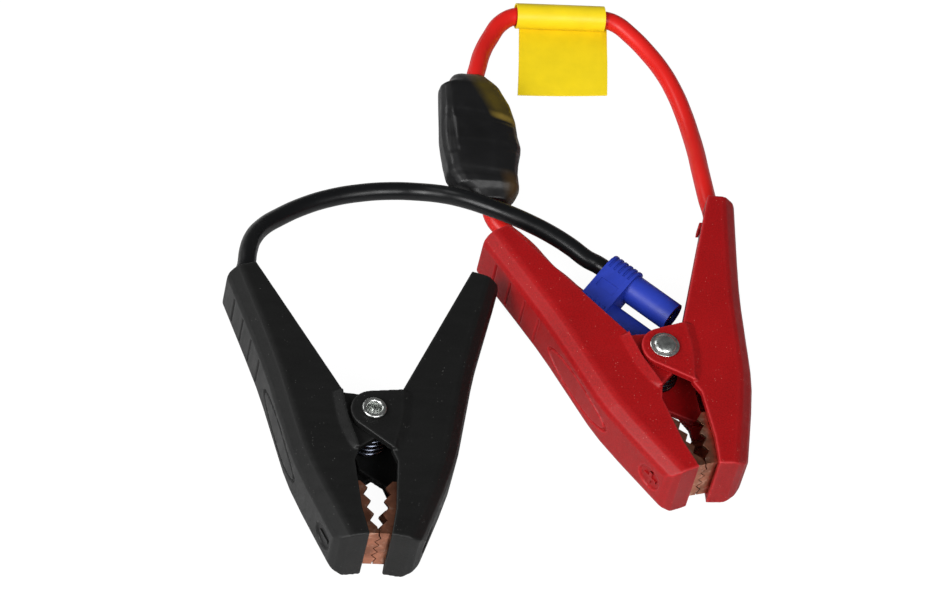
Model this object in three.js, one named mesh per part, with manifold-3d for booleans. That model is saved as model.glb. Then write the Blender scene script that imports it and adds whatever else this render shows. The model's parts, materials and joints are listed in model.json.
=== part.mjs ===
// Clamp lead set of a car jump starter: two insulated spring clamps, their silicone leads, a diode
// module in the positive lead and the two-pole bullet connector that plugs into the battery pack.
//
// Millimetres, +Z up. The set lies on z = 0, with the origin under the middle of the two clamps.
// Each clamp is drawn in a frame of its own: its pivot on the Z axis, its nose towards -Y and its
// handles towards +Y. The right half has x > 0. Seen from above, the right half carries the outer
// lug and the left half the inner lug, and underneath it is the other way round.

import * as THREE from 'three';
import { mergeVertices } from 'three/addons/utils/BufferGeometryUtils.js';
import Module from 'manifold-3d';

const wasm = await Module();
wasm.setup();

// ---------------------------------------------------------------- driving dimensions

// Clamp body
const NOSE_LENGTH = 42; // pivot to the inner corner of the nose
const HANDLE_LENGTH = 52.3; // pivot to the end of the handle
const BODY_HEIGHT = 20.5; // thickness of a closed clamp
const WALL = 2.2;
const NOSE_WALL = 1.5;
const SIDE_BEVEL = [3.8, 3.1]; // width and height of the bevel along the outer side
const TOP_EASE = [4.6, 1.5]; // softens the bevel's upper edge
const SIDE_EASE = [1.9, 4.1]; // softens its lower edge
const HOLLOW_BEVEL = [2.2, 1.8]; // inside, so the wall keeps its thickness round the bevel
const TIP_HALF_WIDTH = 40; // outer side, at the end of the handle
const GRIP_HALF_WIDTH = 31.2; // outer side, where the grip narrows
const GRIP_BACK = 18.8; // pivot to that place
const PIVOT_HALF_WIDTH = 26.9; // outer side, level with the pivot
const JAW_HALF_WIDTH = 22.8; // outer side, at the back of the mouth
const MOUTH_BACK = 16.8; // pivot to the back of the mouth
const NOSE_HALF_WIDTH = 13.6; // outer side, at the nose
const NOSE_GAP = 6.2; // between the two plastic noses
const NOTCH_X = 8.6; // corner where a handle's inner edge meets the lugs
const NOTCH_Y = 7.6;
const TIP_INNER_X = 31.9; // inner edge of the handle, at its end
const HANDLE_SETBACK = 1.3; // the lower wall's inner edge lies this much behind the upper one's

// Slots, ring groove and round recess in the outer side
const MARK_DEPTH = 0.6;
const SLOT_COUNT = 4;
const SLOT_WIDTH = 0.8;
const SLOT_HEIGHT = 10.4;
const SLOT_PITCH = 7.2;
const SLOT_FROM_TIP = 10.5;
const OVAL_AHEAD = 18.5; // from the pivot to the oval groove's front end
const OVAL_BEHIND = 13.6; // and to its back end
const OVAL_HALF_HEIGHT = 4.6;
const OVAL_GROOVE = 0.7;
const RECESS_RADIUS = 3.9;
const RECESS_FROM_NOSE = 5.5;

// Lugs and pivot
const LUG_RADIUS = 6.7;
const LUG_THICKNESS = 2.2;
const LUG_RAISE = 1.1; // the upper lug stands this much above the body
const LUG_RECESS = 1.2; // the lower lug lies this much inside the body
const LUG_GAP = 0.35; // between an outer and an inner lug
const RIVET_DIAMETER = 4.6;
const RIVET_CLEARANCE = 0.3; // on the radius of each lug's hole
const RIVET_WALL = 0.6; // of its hollow tail
const GAP = 0.3; // between pieces that touch

// Torsion spring
const SPRING_RADIUS = 5.7; // to the middle of the wire
const SPRING_WIRE = 1.6;
const SPRING_TURNS = 4;
const SPRING_LEG = 22;
const SPRING_LEG_ANGLE = 27.5; // degrees that a leg leans out from the clamp's middle line
const BUSH_WALL = 1.2;

// Copper jaws, their terminals and rivets
const COPPER = 1; // sheet thickness
const JAW_LENGTH = 17.8; // toothed rim, front to back
const JAW_TEETH = 4;
const TOOTH_DEPTH = 1.7;
const JAW_WAVES = 8; // half waves of the edge where two jaws meet in front
const JAW_WAVE = 0.75; // height of a half wave
const MOUTH_HALF_GAP = 2.8; // tooth tips to the middle, at the back of the mouth
const JAW_WEB_FRONT = 8.2; // the jaw's back plate, distance from the middle at the front
const JAW_WEB_BACK = 12.6; // the same at the back
const JAW_RIVET_DIAMETER = 2.4;
const JAW_RIVET_BACK = 10; // from the jaw's front
const BOSS_RADIUS = 3;
const TONGUE_LENGTH = 12.3; // behind the jaw's rim
const TERMINAL_RIVET_DIAMETER = 2.2;
const TERMINAL_RIVET_SETBACK = 2.5; // from the end of the jaw's tongue
const TERMINAL_TAB = 1; // thickness of the terminal's tab
const TERMINAL_WALL = 0.4; // of the barrel round the lead
const CLIP_SHEET = 0.6; // clip round the lead in the handle
const CLIP_LENGTH = 5;
const CLIP_FROM_TIP = 11; // middle of the clip, from the handle's end
const LEAD_START = 10.5; // pivot to the terminal's mouth
const TERMINAL_X = 19.6; // the same mouth, from the clamp's middle line

// Leads
const LEAD_DIAMETER = 5.5;
const LEAD_SIDES = 12;

// Connector
const POLE_PITCH = 12;
const COLLAR_RADIUS = 5.5;
const COLLAR_LENGTH = 9.5;
const GRIP_RIBS = 6;
const GRIP_RIB = 0.9; // length of a rib
const GRIP_DEPTH = 0.35;
const PANEL = [3.2, 6.2]; // recess in the collar's flat sides: across the poles, and along them
const PANEL_DEPTH = 0.4;
const SOCKET_TUBE_DIAMETER = 9.2;
const SOCKET_TUBE_LENGTH = 15.3;
const CONTACT_DIAMETER = 6.4;
const CONTACT_BACK = 3.4; // from the back of the collar
const CONTACT_SETBACK = 1.2; // from the tube's mouth
const CONTACT_BORE_DEPTH = 12;
const CUP_DEPTH = 5; // of the cup that takes the conductor
const BULLET_DIAMETER = 5; // of the plugs that the contacts take

// Diode module
const SLEEVE_WALL = 0.8;
const TAPE = 0.4; // tape wrapped round the diodes
const DIODE_WIDTH = 10.2;
const DIODE_DEPTH = 9;
const DIODE_HEIGHT = 4.6;
const DIODE_COUNT = 3;
const BUS_DISTANCE = 2.2; // from a diode's side to the middle of its copper strip
const BUS_HEIGHT = 4;
const BUS_CUP_REACH = 6.1; // a strip's cup ends this far inside the sleeve

// Label
const LABEL_WIDTH = 28;
const LABEL_SHEET = 0.6; // two layers, folded round the lead
const LABEL_LOOP_RADIUS = 3.4; // inside of the loop, which is loose on the lead
const FLAG_LENGTH = 29; // from the lead's middle
const FLAG_SHIFT = 1.7; // the flag starts this much to one side of the loop
const FLAG_SKEW = 3.2; // and its end lies this much to the other side
const FLAG_ARCH = 0.9; // the flag's middle stands up this much
const FLAG_LIFT = 1.3; // one corner of its end stands up this much

// Where the pieces lie
const BLACK_PIVOT = [-37.25, -21.13];
const BLACK_TURN = 0;
const RED_PIVOT = [49.81, 5.93];
const RED_TURN = 13.5;
const COLLAR_BACK = [30.26, 33.93]; // middle of the lower pole, at the back of the collar
const CONNECTOR_TURN = -131.5; // degrees from +Y to the way its mouths look
const CONNECTOR_ROLL = 16; // degrees, it leans on its edge
const PACK_MIDDLE = [2.8, 91, 6.1]; // of the diodes
const SLEEVE_LEADS = { in: [3.2, 116.4, 5.4], out: [5, 68.8, 4.6] };
const LABEL_AT = [32.3, 145.6, 4.2];
const LABEL_TURN = 1.4; // degrees

// ---------------------------------------------------------------- materials

const plastic = (colour, roughness) =>
  new THREE.MeshStandardMaterial({ color: colour, roughness, metalness: 0 });
const metal = (colour, roughness) =>
  new THREE.MeshStandardMaterial({ color: colour, roughness, metalness: 1 });

const MATERIALS = {
  black_plastic: plastic(0x1d1e1d, 0.6),
  red_plastic: plastic(0x9c1216, 0.5),
  black_silicone: plastic(0x0c0d0e, 0.25),
  red_silicone: plastic(0xd4241c, 0.35),
  blue_nylon: plastic(0x1b2f9c, 0.4),
  yellow_label: plastic(0xe6cf1e, 0.5),
  shrink: plastic(0x0b0b0c, 0.3),
  amber_tape: plastic(0x8a5a12, 0.35),
  diode_epoxy: plastic(0x17181a, 0.55),
  copper: metal(0xb5683f, 0.35),
  steel: metal(0xb9bcbc, 0.3),
  spring_steel: metal(0x3c3f44, 0.35),
  gold: metal(0xd9a93a, 0.25),
};

// ---------------------------------------------------------------- solids

// A closed geometry as a solid that can be joined and cut.
function solidFrom(geometry) {
  const bare = geometry.index ? geometry.toNonIndexed() : geometry.clone();
  bare.deleteAttribute('normal');
  bare.deleteAttribute('uv');
  const merged = mergeVertices(bare, 1e-4);
  return new wasm.Manifold(
    new wasm.Mesh({
      numProp: 3,
      vertProperties: new Float32Array(merged.attributes.position.array),
      triVerts: new Uint32Array(merged.index.array),
    }),
  );
}

function geometryFrom(solid) {
  const mesh = solid.getMesh();
  const geometry = new THREE.BufferGeometry();
  geometry.setAttribute('position', new THREE.BufferAttribute(mesh.vertProperties, 3));
  geometry.setIndex(new THREE.BufferAttribute(mesh.triVerts, 1));
  geometry.computeVertexNormals();
  return geometry;
}

const join = (...solids) => solids.reduce((all, solid) => all.add(solid));

const shapeFrom = (points) => new THREE.Shape(points.map(([x, y]) => new THREE.Vector2(x, y)));

// An outline in plan, from one height to another.
function prism(points, bottom, top) {
  const geometry = new THREE.ExtrudeGeometry(shapeFrom(points), {
    depth: top - bottom,
    bevelEnabled: false,
  });
  geometry.translate(0, 0, bottom);
  return solidFrom(geometry);
}

// The same with its upper and lower edges bevelled, drawn in by an inset.
function bevelledPrism(points, inset, bottom, top, [bevelWidth, bevelHeight]) {
  const geometry = new THREE.ExtrudeGeometry(shapeFrom(points), {
    depth: top - bottom - 2 * bevelHeight,
    bevelEnabled: true,
    bevelThickness: bevelHeight,
    bevelSize: bevelWidth,
    bevelOffset: -bevelWidth - inset,
    bevelSegments: 1,
  });
  geometry.translate(0, 0, bottom + bevelHeight);
  return solidFrom(geometry);
}

function box(width, depth, height, x, y, z) {
  const geometry = new THREE.BoxGeometry(width, depth, height);
  geometry.translate(x, y, z);
  return solidFrom(geometry);
}

// A cylinder between two points.
function rod(radius, from, to, sides = 20) {
  const start = new THREE.Vector3(...from);
  const end = new THREE.Vector3(...to);
  const way = end.clone().sub(start);
  const geometry = new THREE.CylinderGeometry(radius, radius, way.length(), sides);
  const turn = new THREE.Quaternion().setFromUnitVectors(
    new THREE.Vector3(0, 1, 0),
    way.clone().normalize(),
  );
  geometry.applyQuaternion(turn);
  geometry.translate(...start.add(end).multiplyScalar(0.5).toArray());
  return solidFrom(geometry);
}

// A turned piece: radius and height of each corner, starting and ending on the Z axis.
function turned(profile, sides = 24) {
  const points = profile.map(([radius, z]) => new THREE.Vector2(radius, z));
  const geometry = new THREE.LatheGeometry(points, sides);
  geometry.rotateX(Math.PI / 2);
  return solidFrom(geometry);
}

// A round wire or lead along a curve through points.
function tube(points, diameter, sides, steps) {
  const path = new THREE.CatmullRomCurve3(points.map((p) => new THREE.Vector3(...p)));
  const section = [];
  for (let i = 0; i < sides; i++) {
    const angle = (2 * Math.PI * i) / sides;
    section.push([(diameter / 2) * Math.cos(angle), (diameter / 2) * Math.sin(angle)]);
  }
  const geometry = new THREE.ExtrudeGeometry(shapeFrom(section), {
    steps,
    bevelEnabled: false,
    extrudePath: path,
  });
  return solidFrom(geometry);
}

const pathLength = (points) =>
  new THREE.CatmullRomCurve3(points.map((p) => new THREE.Vector3(...p))).getLength();

// A skin through rings of as many points each, closed at both ends by a fan.
function loft(rings) {
  const count = rings[0].length;
  const positions = rings.flat(2);
  const middles = [rings[0], rings[rings.length - 1]].map((ring) =>
    [0, 1, 2].map((axis) => ring.reduce((sum, p) => sum + p[axis], 0) / count),
  );
  positions.push(...middles[0], ...middles[1]);
  const first = rings.length * count;
  const faces = [];
  for (let r = 0; r + 1 < rings.length; r++) {
    for (let i = 0; i < count; i++) {
      const a = r * count + i;
      const b = r * count + ((i + 1) % count);
      faces.push(a, b, b + count, a, b + count, a + count);
    }
  }
  for (let i = 0; i < count; i++) {
    const next = (i + 1) % count;
    const last = (rings.length - 1) * count;
    faces.push(first, next, i, first + 1, last + i, last + next);
  }
  const geometry = new THREE.BufferGeometry();
  geometry.setAttribute('position', new THREE.Float32BufferAttribute(positions, 3));
  geometry.setIndex(faces);
  return solidFrom(geometry);
}

const arc = (x, y, radius, from, to, steps) =>
  Array.from({ length: steps + 1 }, (_, i) => {
    const angle = THREE.MathUtils.degToRad(from + ((to - from) * i) / steps);
    return [x + radius * Math.cos(angle), y + radius * Math.sin(angle)];
  });

// ---------------------------------------------------------------- assembly

const assembly = new THREE.Group();

function addMesh(parent, name, solid, material) {
  const mesh = new THREE.Mesh(geometryFrom(solid), MATERIALS[material]);
  mesh.name = name;
  parent.add(mesh);
}

// ---------------------------------------------------------------- clamp: shared outlines

const mirrored = (points, side) => points.map(([x, y]) => [side * x, y]);

// Heights of the four lugs, from the table up.
const LUGS = {
  lowerOuter: [LUG_RECESS, LUG_RECESS + LUG_THICKNESS],
  upperOuter: [BODY_HEIGHT + LUG_RAISE - LUG_THICKNESS, BODY_HEIGHT + LUG_RAISE],
};
LUGS.lowerInner = [
  LUGS.lowerOuter[1] + LUG_GAP,
  LUGS.lowerOuter[1] + LUG_GAP + LUG_THICKNESS,
];
LUGS.upperInner = [
  LUGS.upperOuter[0] - LUG_GAP - LUG_THICKNESS,
  LUGS.upperOuter[0] - LUG_GAP,
];

// The outer side of a half in plan, nose first, run on straight past both ends.
function sideLine() {
  const knots = [
    [NOSE_HALF_WIDTH, -NOSE_LENGTH + 2.1],
    [JAW_HALF_WIDTH, -MOUTH_BACK],
    [PIVOT_HALF_WIDTH, 0],
    [GRIP_HALF_WIDTH, GRIP_BACK],
    [TIP_HALF_WIDTH, HANDLE_LENGTH - 3.7],
  ];
  const curve = new THREE.SplineCurve(knots.map(([x, y]) => new THREE.Vector2(x, y)));
  const points = curve.getPoints(12).map((p) => [p.x, p.y]);
  const run = 25;
  const past = (end, before) => {
    const length = Math.hypot(end[0] - before[0], end[1] - before[1]);
    return [
      end[0] + ((end[0] - before[0]) / length) * run,
      end[1] + ((end[1] - before[1]) / length) * run,
    ];
  };
  return [past(points[0], points[1]), ...points, past(points.at(-1), points.at(-2))];
}

// How far the outer side stands from the middle of the clamp at a height y.
function sideAt(y) {
  const line = sideLine();
  for (let i = 0; i + 1 < line.length; i++) {
    const [[x0, y0], [x1, y1]] = [line[i], line[i + 1]];
    if (y >= y0 && y <= y1) return x0 + ((x1 - x0) * (y - y0)) / (y1 - y0);
  }
  return TIP_HALF_WIDTH;
}

// How far the inner edge of a handle stands from the middle at a height y.
const handleInnerAt = (y) =>
  NOTCH_X + ((TIP_INNER_X - NOTCH_X) * (y - NOTCH_Y)) / (HANDLE_LENGTH - NOTCH_Y);

// Rest of the half in plan: everything but the outer side, which it leaves open.
function innerOutline() {
  const mouth = [
    [NOSE_GAP / 2, -NOSE_LENGTH],
    [4.9, -NOSE_LENGTH + 9.2],
    [5.9, -MOUTH_BACK - 2.9],
    [6.1, -MOUTH_BACK],
    [4.6, -MOUTH_BACK + 4.2],
  ];
  const crest = [
    [5, -11.2],
    [6.4, -6.4],
    [7.7, -2],
    [8.3, 3.4],
    [NOTCH_X, NOTCH_Y],
  ];
  const end = [
    [TIP_INNER_X, HANDLE_LENGTH],
    [TIP_HALF_WIDTH - 1.6, HANDLE_LENGTH - 1.7],
    [TIP_HALF_WIDTH - 0.2, HANDLE_LENGTH - 2.6],
    [TIP_HALF_WIDTH + 0.6, HANDLE_LENGTH - 4.2],
    [TIP_HALF_WIDTH + 20, HANDLE_LENGTH - 12],
  ];
  const nose = [
    [NOSE_HALF_WIDTH + 20, -NOSE_LENGTH + 8.4],
    [NOSE_HALF_WIDTH + 0.4, -NOSE_LENGTH + 2.2],
    [NOSE_HALF_WIDTH - 0.8, -NOSE_LENGTH + 0.6],
    [NOSE_HALF_WIDTH - 2.5, -NOSE_LENGTH - 0.7],
    [NOSE_HALF_WIDTH - 4.8, -NOSE_LENGTH - 1.1],
  ];
  return [...mouth, ...crest, ...end, ...nose];
}

// ---------------------------------------------------------------- clamp: plastic halves

// A lug: a round end about the pivot, and a wedge back to the half that carries it.
const LUG_HEEL = [
  [11, 8.4],
  [NOTCH_X, NOTCH_Y],
];
const lugEnd = (radius) => arc(0, 0, radius, 98, 238, 11);
const LUG_OUTLINES = {
  // on top its heel stops at the shoulder
  shoulder: [
    [NOTCH_X + 0.2, NOTCH_Y - 0.2],
    [NOTCH_X, NOTCH_Y],
    ...lugEnd(LUG_RADIUS),
    [4.9, -12.8],
    [5.9, -9],
    [7.4, -4],
    [8.2, 1],
  ],
  plain: [...LUG_HEEL, ...lugEnd(LUG_RADIUS), [4.8, -11.8], [7.4, -11.4], [11.4, -2]],
  // underneath an apron closes the mouth's back
  apron: [
    ...LUG_HEEL,
    ...lugEnd(LUG_RADIUS),
    [-2.7, -10.3],
    [6.4, -17.2],
    [9.4, -17.2],
    [11.4, -2],
  ],
};

// The sloped shoulder along the raised lug, or the rim opposite it.
function shoulder(side, base) {
  const inner = [
    [4.7, -12.9],
    [5, -11.2],
    [6.4, -6.4],
    [7.7, -2],
    [8.3, 3.4],
  ];
  const foot = [
    [NOTCH_X, NOTCH_Y],
    [11.8, 6.6],
    [11.1, 0],
    [10.2, -5],
    [8.4, -10],
    [6.6, -13.2],
    ...inner,
  ];
  const crown = [
    [NOTCH_X, NOTCH_Y],
    [8.85, 6.8],
    [8.4, 1],
    [7.6, -4],
    [6.1, -9],
    [5.2, -12.9],
    ...inner,
  ];
  const ring = (points, z) => mirrored(points, side).map(([x, y]) => [x, y, z]);
  const rings = [ring(foot, base - 1), ring(foot, base), ring(crown, base + LUG_RAISE)];
  // the outline runs clockwise, so its mirror image runs the right way round for a loft
  return loft(side > 0 ? rings.map((points) => points.slice().reverse()) : rings);
}

// Slots, ring groove and round recess on the outer side, sunk to one depth below it.
function sideMarks(side, skin) {
  const reach = 60;
  const middle = BODY_HEIGHT / 2;
  const cuts = [];
  for (let i = 0; i < SLOT_COUNT; i++) {
    const y = HANDLE_LENGTH - SLOT_FROM_TIP - SLOT_PITCH * i;
    cuts.push(box(reach, SLOT_WIDTH, SLOT_HEIGHT, (side * reach) / 2, y, middle));
  }
  const oval = (halfHeight, inset) => {
    const low = -OVAL_AHEAD + inset;
    const high = OVAL_BEHIND - inset;
    const points = [];
    const corners = 20;
    for (let i = 0; i < corners; i++) {
      const angle = (2 * Math.PI * i) / corners;
      const y = (low + high) / 2 + ((high - low) / 2) * Math.cos(angle);
      points.push([y, middle + halfHeight * Math.sin(angle)]);
    }
    const geometry = new THREE.ExtrudeGeometry(shapeFrom(points), {
      depth: reach,
      bevelEnabled: false,
    });
    // (x, y, z) of the outline becomes (z, x, y): the oval stands upright along the side
    geometry.applyMatrix4(new THREE.Matrix4().set(0, 0, 1, 0, 1, 0, 0, 0, 0, 1, 0, 0, 0, 0, 0, 1));
    geometry.translate(side > 0 ? 0 : -reach, 0, 0);
    return solidFrom(geometry);
  };
  const island = oval(OVAL_HALF_HEIGHT - OVAL_GROOVE, 1.7 * OVAL_GROOVE);
  cuts.push(oval(OVAL_HALF_HEIGHT, 0).subtract(island));
  const markY = -NOSE_LENGTH + RECESS_FROM_NOSE;
  cuts.push(rod(RECESS_RADIUS, [0, markY, middle], [side * reach, markY, middle], 24));
  return join(...cuts).subtract(skin);
}

const jawFront = -(NOSE_LENGTH - NOSE_WALL - GAP);
const jawBack = jawFront + JAW_LENGTH;
const jawRivetY = jawFront + JAW_RIVET_BACK;
const tongueEnd = jawBack + TONGUE_LENGTH;
const terminalRivetY = tongueEnd - TERMINAL_RIVET_SETBACK;

// Distance of the jaw's back plate from the middle.
const jawWebAt = (y) =>
  JAW_WEB_FRONT + ((JAW_WEB_BACK - JAW_WEB_FRONT) * (y - jawFront)) / (jawBack - jawFront);

// Middle line of a lead inside its handle, from its inner end to the handle's mouth.
function leadInHandle(side) {
  const middle = (y) => (handleInnerAt(y) + sideAt(y) - WALL) / 2;
  const clip = HANDLE_LENGTH - CLIP_FROM_TIP;
  const run = clip - LEAD_START;
  const places = [LEAD_START, LEAD_START + run / 3, LEAD_START + (2 * run) / 3, clip];
  return [...places, HANDLE_LENGTH - 0.8].map((y, i) => {
    const x = i === 0 ? Math.max(middle(y), TERMINAL_X) : middle(y);
    return [side * x, y, BODY_HEIGHT / 2];
  });
}

function clampHalf(side, hasLead) {
  const outline = mirrored(innerOutline(), side);
  const line = sideLine();
  const far = -60;
  const broad = mirrored([[far, line[0][1]], ...line, [far, line.at(-1)[1]]], side);
  const body = [SIDE_BEVEL, TOP_EASE, SIDE_EASE].reduce(
    (solid, bevel) => solid.intersect(bevelledPrism(broad, 0, 0, BODY_HEIGHT, bevel)),
    prism(outline, 0, BODY_HEIGHT),
  );

  // the hollow: open towards the other half, closed at the nose and at the handle's end
  const hollowDepth = NOSE_LENGTH - NOSE_WALL + HANDLE_LENGTH - WALL;
  const hollowMiddle = (HANDLE_LENGTH - WALL - NOSE_LENGTH + NOSE_WALL) / 2;
  const hollow = bevelledPrism(broad, WALL, WALL, BODY_HEIGHT - WALL, HOLLOW_BEVEL).intersect(box(150, hollowDepth, BODY_HEIGHT, 0, hollowMiddle, BODY_HEIGHT / 2));
  let half = body.subtract(hollow);

  // lugs: the right half has the outer one on top, the left half the outer one underneath
  const upper = side > 0 ? LUGS.upperOuter : LUGS.upperInner;
  const lower = side > 0 ? LUGS.lowerInner : LUGS.lowerOuter;
  const upperOutline = side > 0 ? LUG_OUTLINES.shoulder : LUG_OUTLINES.plain;
  half = half.add(prism(mirrored(upperOutline, side), ...upper));
  half = half.add(prism(mirrored(LUG_OUTLINES.apron, side), ...lower));
  half = half.add(shoulder(side, BODY_HEIGHT));
  const rootInner = [
    [6.6, -6.4],
    [7.9, -2],
    [8.5, 3.4],
  ];
  const rootOutline = [
    [NOTCH_X, NOTCH_Y],
    [11.3, 8.4],
    [11.4, -2],
    ...(side > 0
      ? [
          [9.4, -17],
          [6.7, -17],
          [5.2, -12.4],
        ]
      : [[7.4, -11.4]]),
    [5.2, -11.4],
    ...rootInner,
  ];
  const root = side > 0 ? [WALL / 2, lower[1]] : [upper[0], BODY_HEIGHT - WALL / 2];
  half = half.add(prism(mirrored(rootOutline, side), ...root));

  // the lower wall's inner edge, set back along the handle
  const setbackFrom = NOTCH_Y + 7;
  const setback = [
    [handleInnerAt(setbackFrom) - 1, setbackFrom],
    [handleInnerAt(setbackFrom + 3) + HANDLE_SETBACK, setbackFrom + 3],
    [TIP_INNER_X + HANDLE_SETBACK, HANDLE_LENGTH],
    [TIP_INNER_X + HANDLE_SETBACK, HANDLE_LENGTH + 1],
    [TIP_INNER_X - 1, HANDLE_LENGTH + 1],
  ];
  half = half.subtract(prism(mirrored(setback, side), -1, WALL + 0.1));

  // pivot hole
  const hole = RIVET_DIAMETER / 2 + RIVET_CLEARANCE;
  half = half.subtract(rod(hole, [0, 0, -5], [0, 0, BODY_HEIGHT + 5], 24));

  // boss for the jaw's rivet, from the outer wall to the jaw's back plate
  const bossStart = jawWebAt(jawRivetY + BOSS_RADIUS) + GAP;
  const bossEnd = sideAt(jawRivetY) - WALL / 2;
  const middle = BODY_HEIGHT / 2;
  half = half.add(
    rod(
      BOSS_RADIUS,
      [side * bossStart, jawRivetY, middle],
      [side * bossEnd, jawRivetY, middle],
      16,
    ),
  );
  half = half.subtract(
    rod(
      JAW_RIVET_DIAMETER / 2 + GAP,
      [side * (bossStart - 1), jawRivetY, middle],
      [side * (bossEnd - 1), jawRivetY, middle],
      16,
    ),
  );

  // seat that takes the end of the spring's leg
  const legZ = springLegHeight(side, hasLead);
  const seatEnd = springLegEnd(side);
  const onFloor = legZ < BODY_HEIGHT / 2;
  const seatBottom = onFloor ? WALL / 2 : legZ - 0.8;
  const seatTop = onFloor ? legZ + 0.3 : BODY_HEIGHT - WALL / 2;
  half = half.add(
    box(
      2,
      5,
      seatTop - seatBottom,
      seatEnd[0] + side * (SPRING_WIRE / 2 + GAP + 1.6),
      seatEnd[1] - 3,
      (seatTop + seatBottom) / 2,
    ),
  );

  if (hasLead) {
    // slot in the handle's end that the lead leaves by
    const exit = leadInHandle(side).at(-1);
    const width = LEAD_DIAMETER + 2 * GAP;
    half = half.subtract(
      box(width, 3 * WALL, width, exit[0], HANDLE_LENGTH - WALL, middle),
    );
    half = half.subtract(
      box(8, 3 * WALL, width, exit[0] - side * 4, HANDLE_LENGTH - WALL, middle),
    );
  }
  const skin = bevelledPrism(broad, MARK_DEPTH, 0, BODY_HEIGHT, SIDE_BEVEL);
  return half.subtract(sideMarks(side, skin));
}

// ---------------------------------------------------------------- clamp: spring

// The fixed leg lies low in the half with the lead, the moving leg high in the other half.
const springLow = LUGS.lowerInner[1] + GAP + SPRING_WIRE / 2;
const springHigh = LUGS.upperInner[0] - GAP - SPRING_WIRE / 2;

const springLegHeight = (side, hasLead) => (hasLead ? springLow : springHigh);

// Where a leg leaves the coil and where it ends, in plan.
function springLegStart(side) {
  const lean = THREE.MathUtils.degToRad(SPRING_LEG_ANGLE);
  return [side * SPRING_RADIUS * Math.cos(lean), -SPRING_RADIUS * Math.sin(lean)];
}
function springLegEnd(side) {
  const lean = THREE.MathUtils.degToRad(SPRING_LEG_ANGLE);
  const [x, y] = springLegStart(side);
  return [x + side * SPRING_LEG * Math.sin(lean), y + SPRING_LEG * Math.cos(lean)];
}

// The coil winds up from the leg in the half with the lead to the leg in the free half.
function spring(leadSide) {
  const points = [];
  const [endX, endY] = springLegEnd(leadSide);
  const [startX, startY] = springLegStart(leadSide);
  for (let i = 0; i < 4; i++) {
    const share = i / 4;
    points.push([endX + (startX - endX) * share, endY + (startY - endY) * share, springLow]);
  }
  const sweep = 180 - 2 * SPRING_LEG_ANGLE + 360 * SPRING_TURNS;
  const steps = SPRING_TURNS * 12 + 4;
  for (let i = 0; i <= steps; i++) {
    const angle = THREE.MathUtils.degToRad(180 + SPRING_LEG_ANGLE + (sweep * i) / steps);
    points.push([
      -leadSide * SPRING_RADIUS * Math.cos(angle),
      SPRING_RADIUS * Math.sin(angle),
      springLow + ((springHigh - springLow) * i) / steps,
    ]);
  }
  const [farX, farY] = springLegEnd(-leadSide);
  const [leaveX, leaveY] = springLegStart(-leadSide);
  for (let i = 1; i <= 4; i++) {
    const share = i / 4;
    points.push([leaveX + (farX - leaveX) * share, leaveY + (farY - leaveY) * share, springHigh]);
  }
  return tube(points, SPRING_WIRE, 6, 80);
}

// ---------------------------------------------------------------- clamp: metalwork

// Pressed copper jaw: toothed rims above and below, a back plate and a front plate whose
// wavy edge meets the one opposite.
function jaw(side) {
  const low = WALL + GAP;
  const high = BODY_HEIGHT - WALL - GAP;
  const pitch = JAW_LENGTH / JAW_TEETH;
  const rim = [];
  for (let i = 0; i <= JAW_TEETH * 2; i++) {
    const y = jawFront + (pitch * i) / 2;
    const tip = GAP / 2 + (MOUTH_HALF_GAP * i) / (JAW_TEETH * 2);
    rim.push([i % 2 ? tip : tip + (i ? TOOTH_DEPTH : 0), y]);
  }
  rim.push([jawWebAt(jawBack) - 3, jawBack]);
  const plate = [...rim, [jawWebAt(jawBack), jawBack], [jawWebAt(jawFront), jawFront]];
  const web = [
    [jawWebAt(jawFront) - COPPER, jawFront],
    [jawWebAt(jawBack) - COPPER, jawBack],
    [jawWebAt(jawBack), jawBack],
    [jawWebAt(jawFront), jawFront],
  ];
  const tongue = [
    [jawWebAt(jawBack) - COPPER, jawBack - 0.5],
    [jawWebAt(jawBack) + 2 - COPPER, tongueEnd],
    [jawWebAt(jawBack) + 2, tongueEnd],
    [jawWebAt(jawBack), jawBack - 0.5],
  ];
  // the front edge waves, and meets the plates above and below it straight
  const front = [[GAP / 2, low]];
  const rise = high - low - 2 * COPPER;
  for (let i = 0; i <= JAW_WAVES; i++) {
    const wave = i === 0 || i === JAW_WAVES ? 0 : i % 2 ? JAW_WAVE : -JAW_WAVE;
    front.push([GAP / 2 + side * wave, low + COPPER + (rise * i) / JAW_WAVES]);
  }
  front.push([GAP / 2, high], [jawWebAt(jawFront), high], [jawWebAt(jawFront), low]);
  const frontGeometry = new THREE.ExtrudeGeometry(shapeFrom(mirrored(front, side)), {
    depth: COPPER,
    bevelEnabled: false,
  });
  frontGeometry.rotateX(Math.PI / 2);
  frontGeometry.translate(0, jawFront + COPPER, 0);

  const middle = BODY_HEIGHT / 2;
  const holes = [
    [jawRivetY, JAW_RIVET_DIAMETER / 2 + GAP],
    [terminalRivetY, TERMINAL_RIVET_DIAMETER / 2 + GAP],
  ];
  let solid = join(
    prism(mirrored(plate, side), low, low + COPPER),
    prism(mirrored(plate, side), high - COPPER, high),
    prism(mirrored(web, side), low, high),
    prism(mirrored(tongue, side), middle - 4, middle + 4),
    solidFrom(frontGeometry),
  );
  for (const [y, radius] of holes) {
    solid = solid.subtract(rod(radius, [side * 6, y, middle], [side * 30, y, middle], 16));
  }
  return solid;
}

// Rivet through the jaw's back plate into the plastic boss.
function jawRivet(side) {
  const middle = BODY_HEIGHT / 2;
  const inside = jawWebAt(jawRivetY) - COPPER - 1.1;
  const depth = sideAt(jawRivetY) - WALL / 2 - 1 - GAP;
  const at = (x) => [side * x, jawRivetY, middle];
  return join(
    rod(JAW_RIVET_DIAMETER / 2 + 1.2, at(inside - 0.9), at(inside), 16),
    rod(JAW_RIVET_DIAMETER / 2, at(inside - 0.1), at(depth), 16),
  );
}

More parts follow.
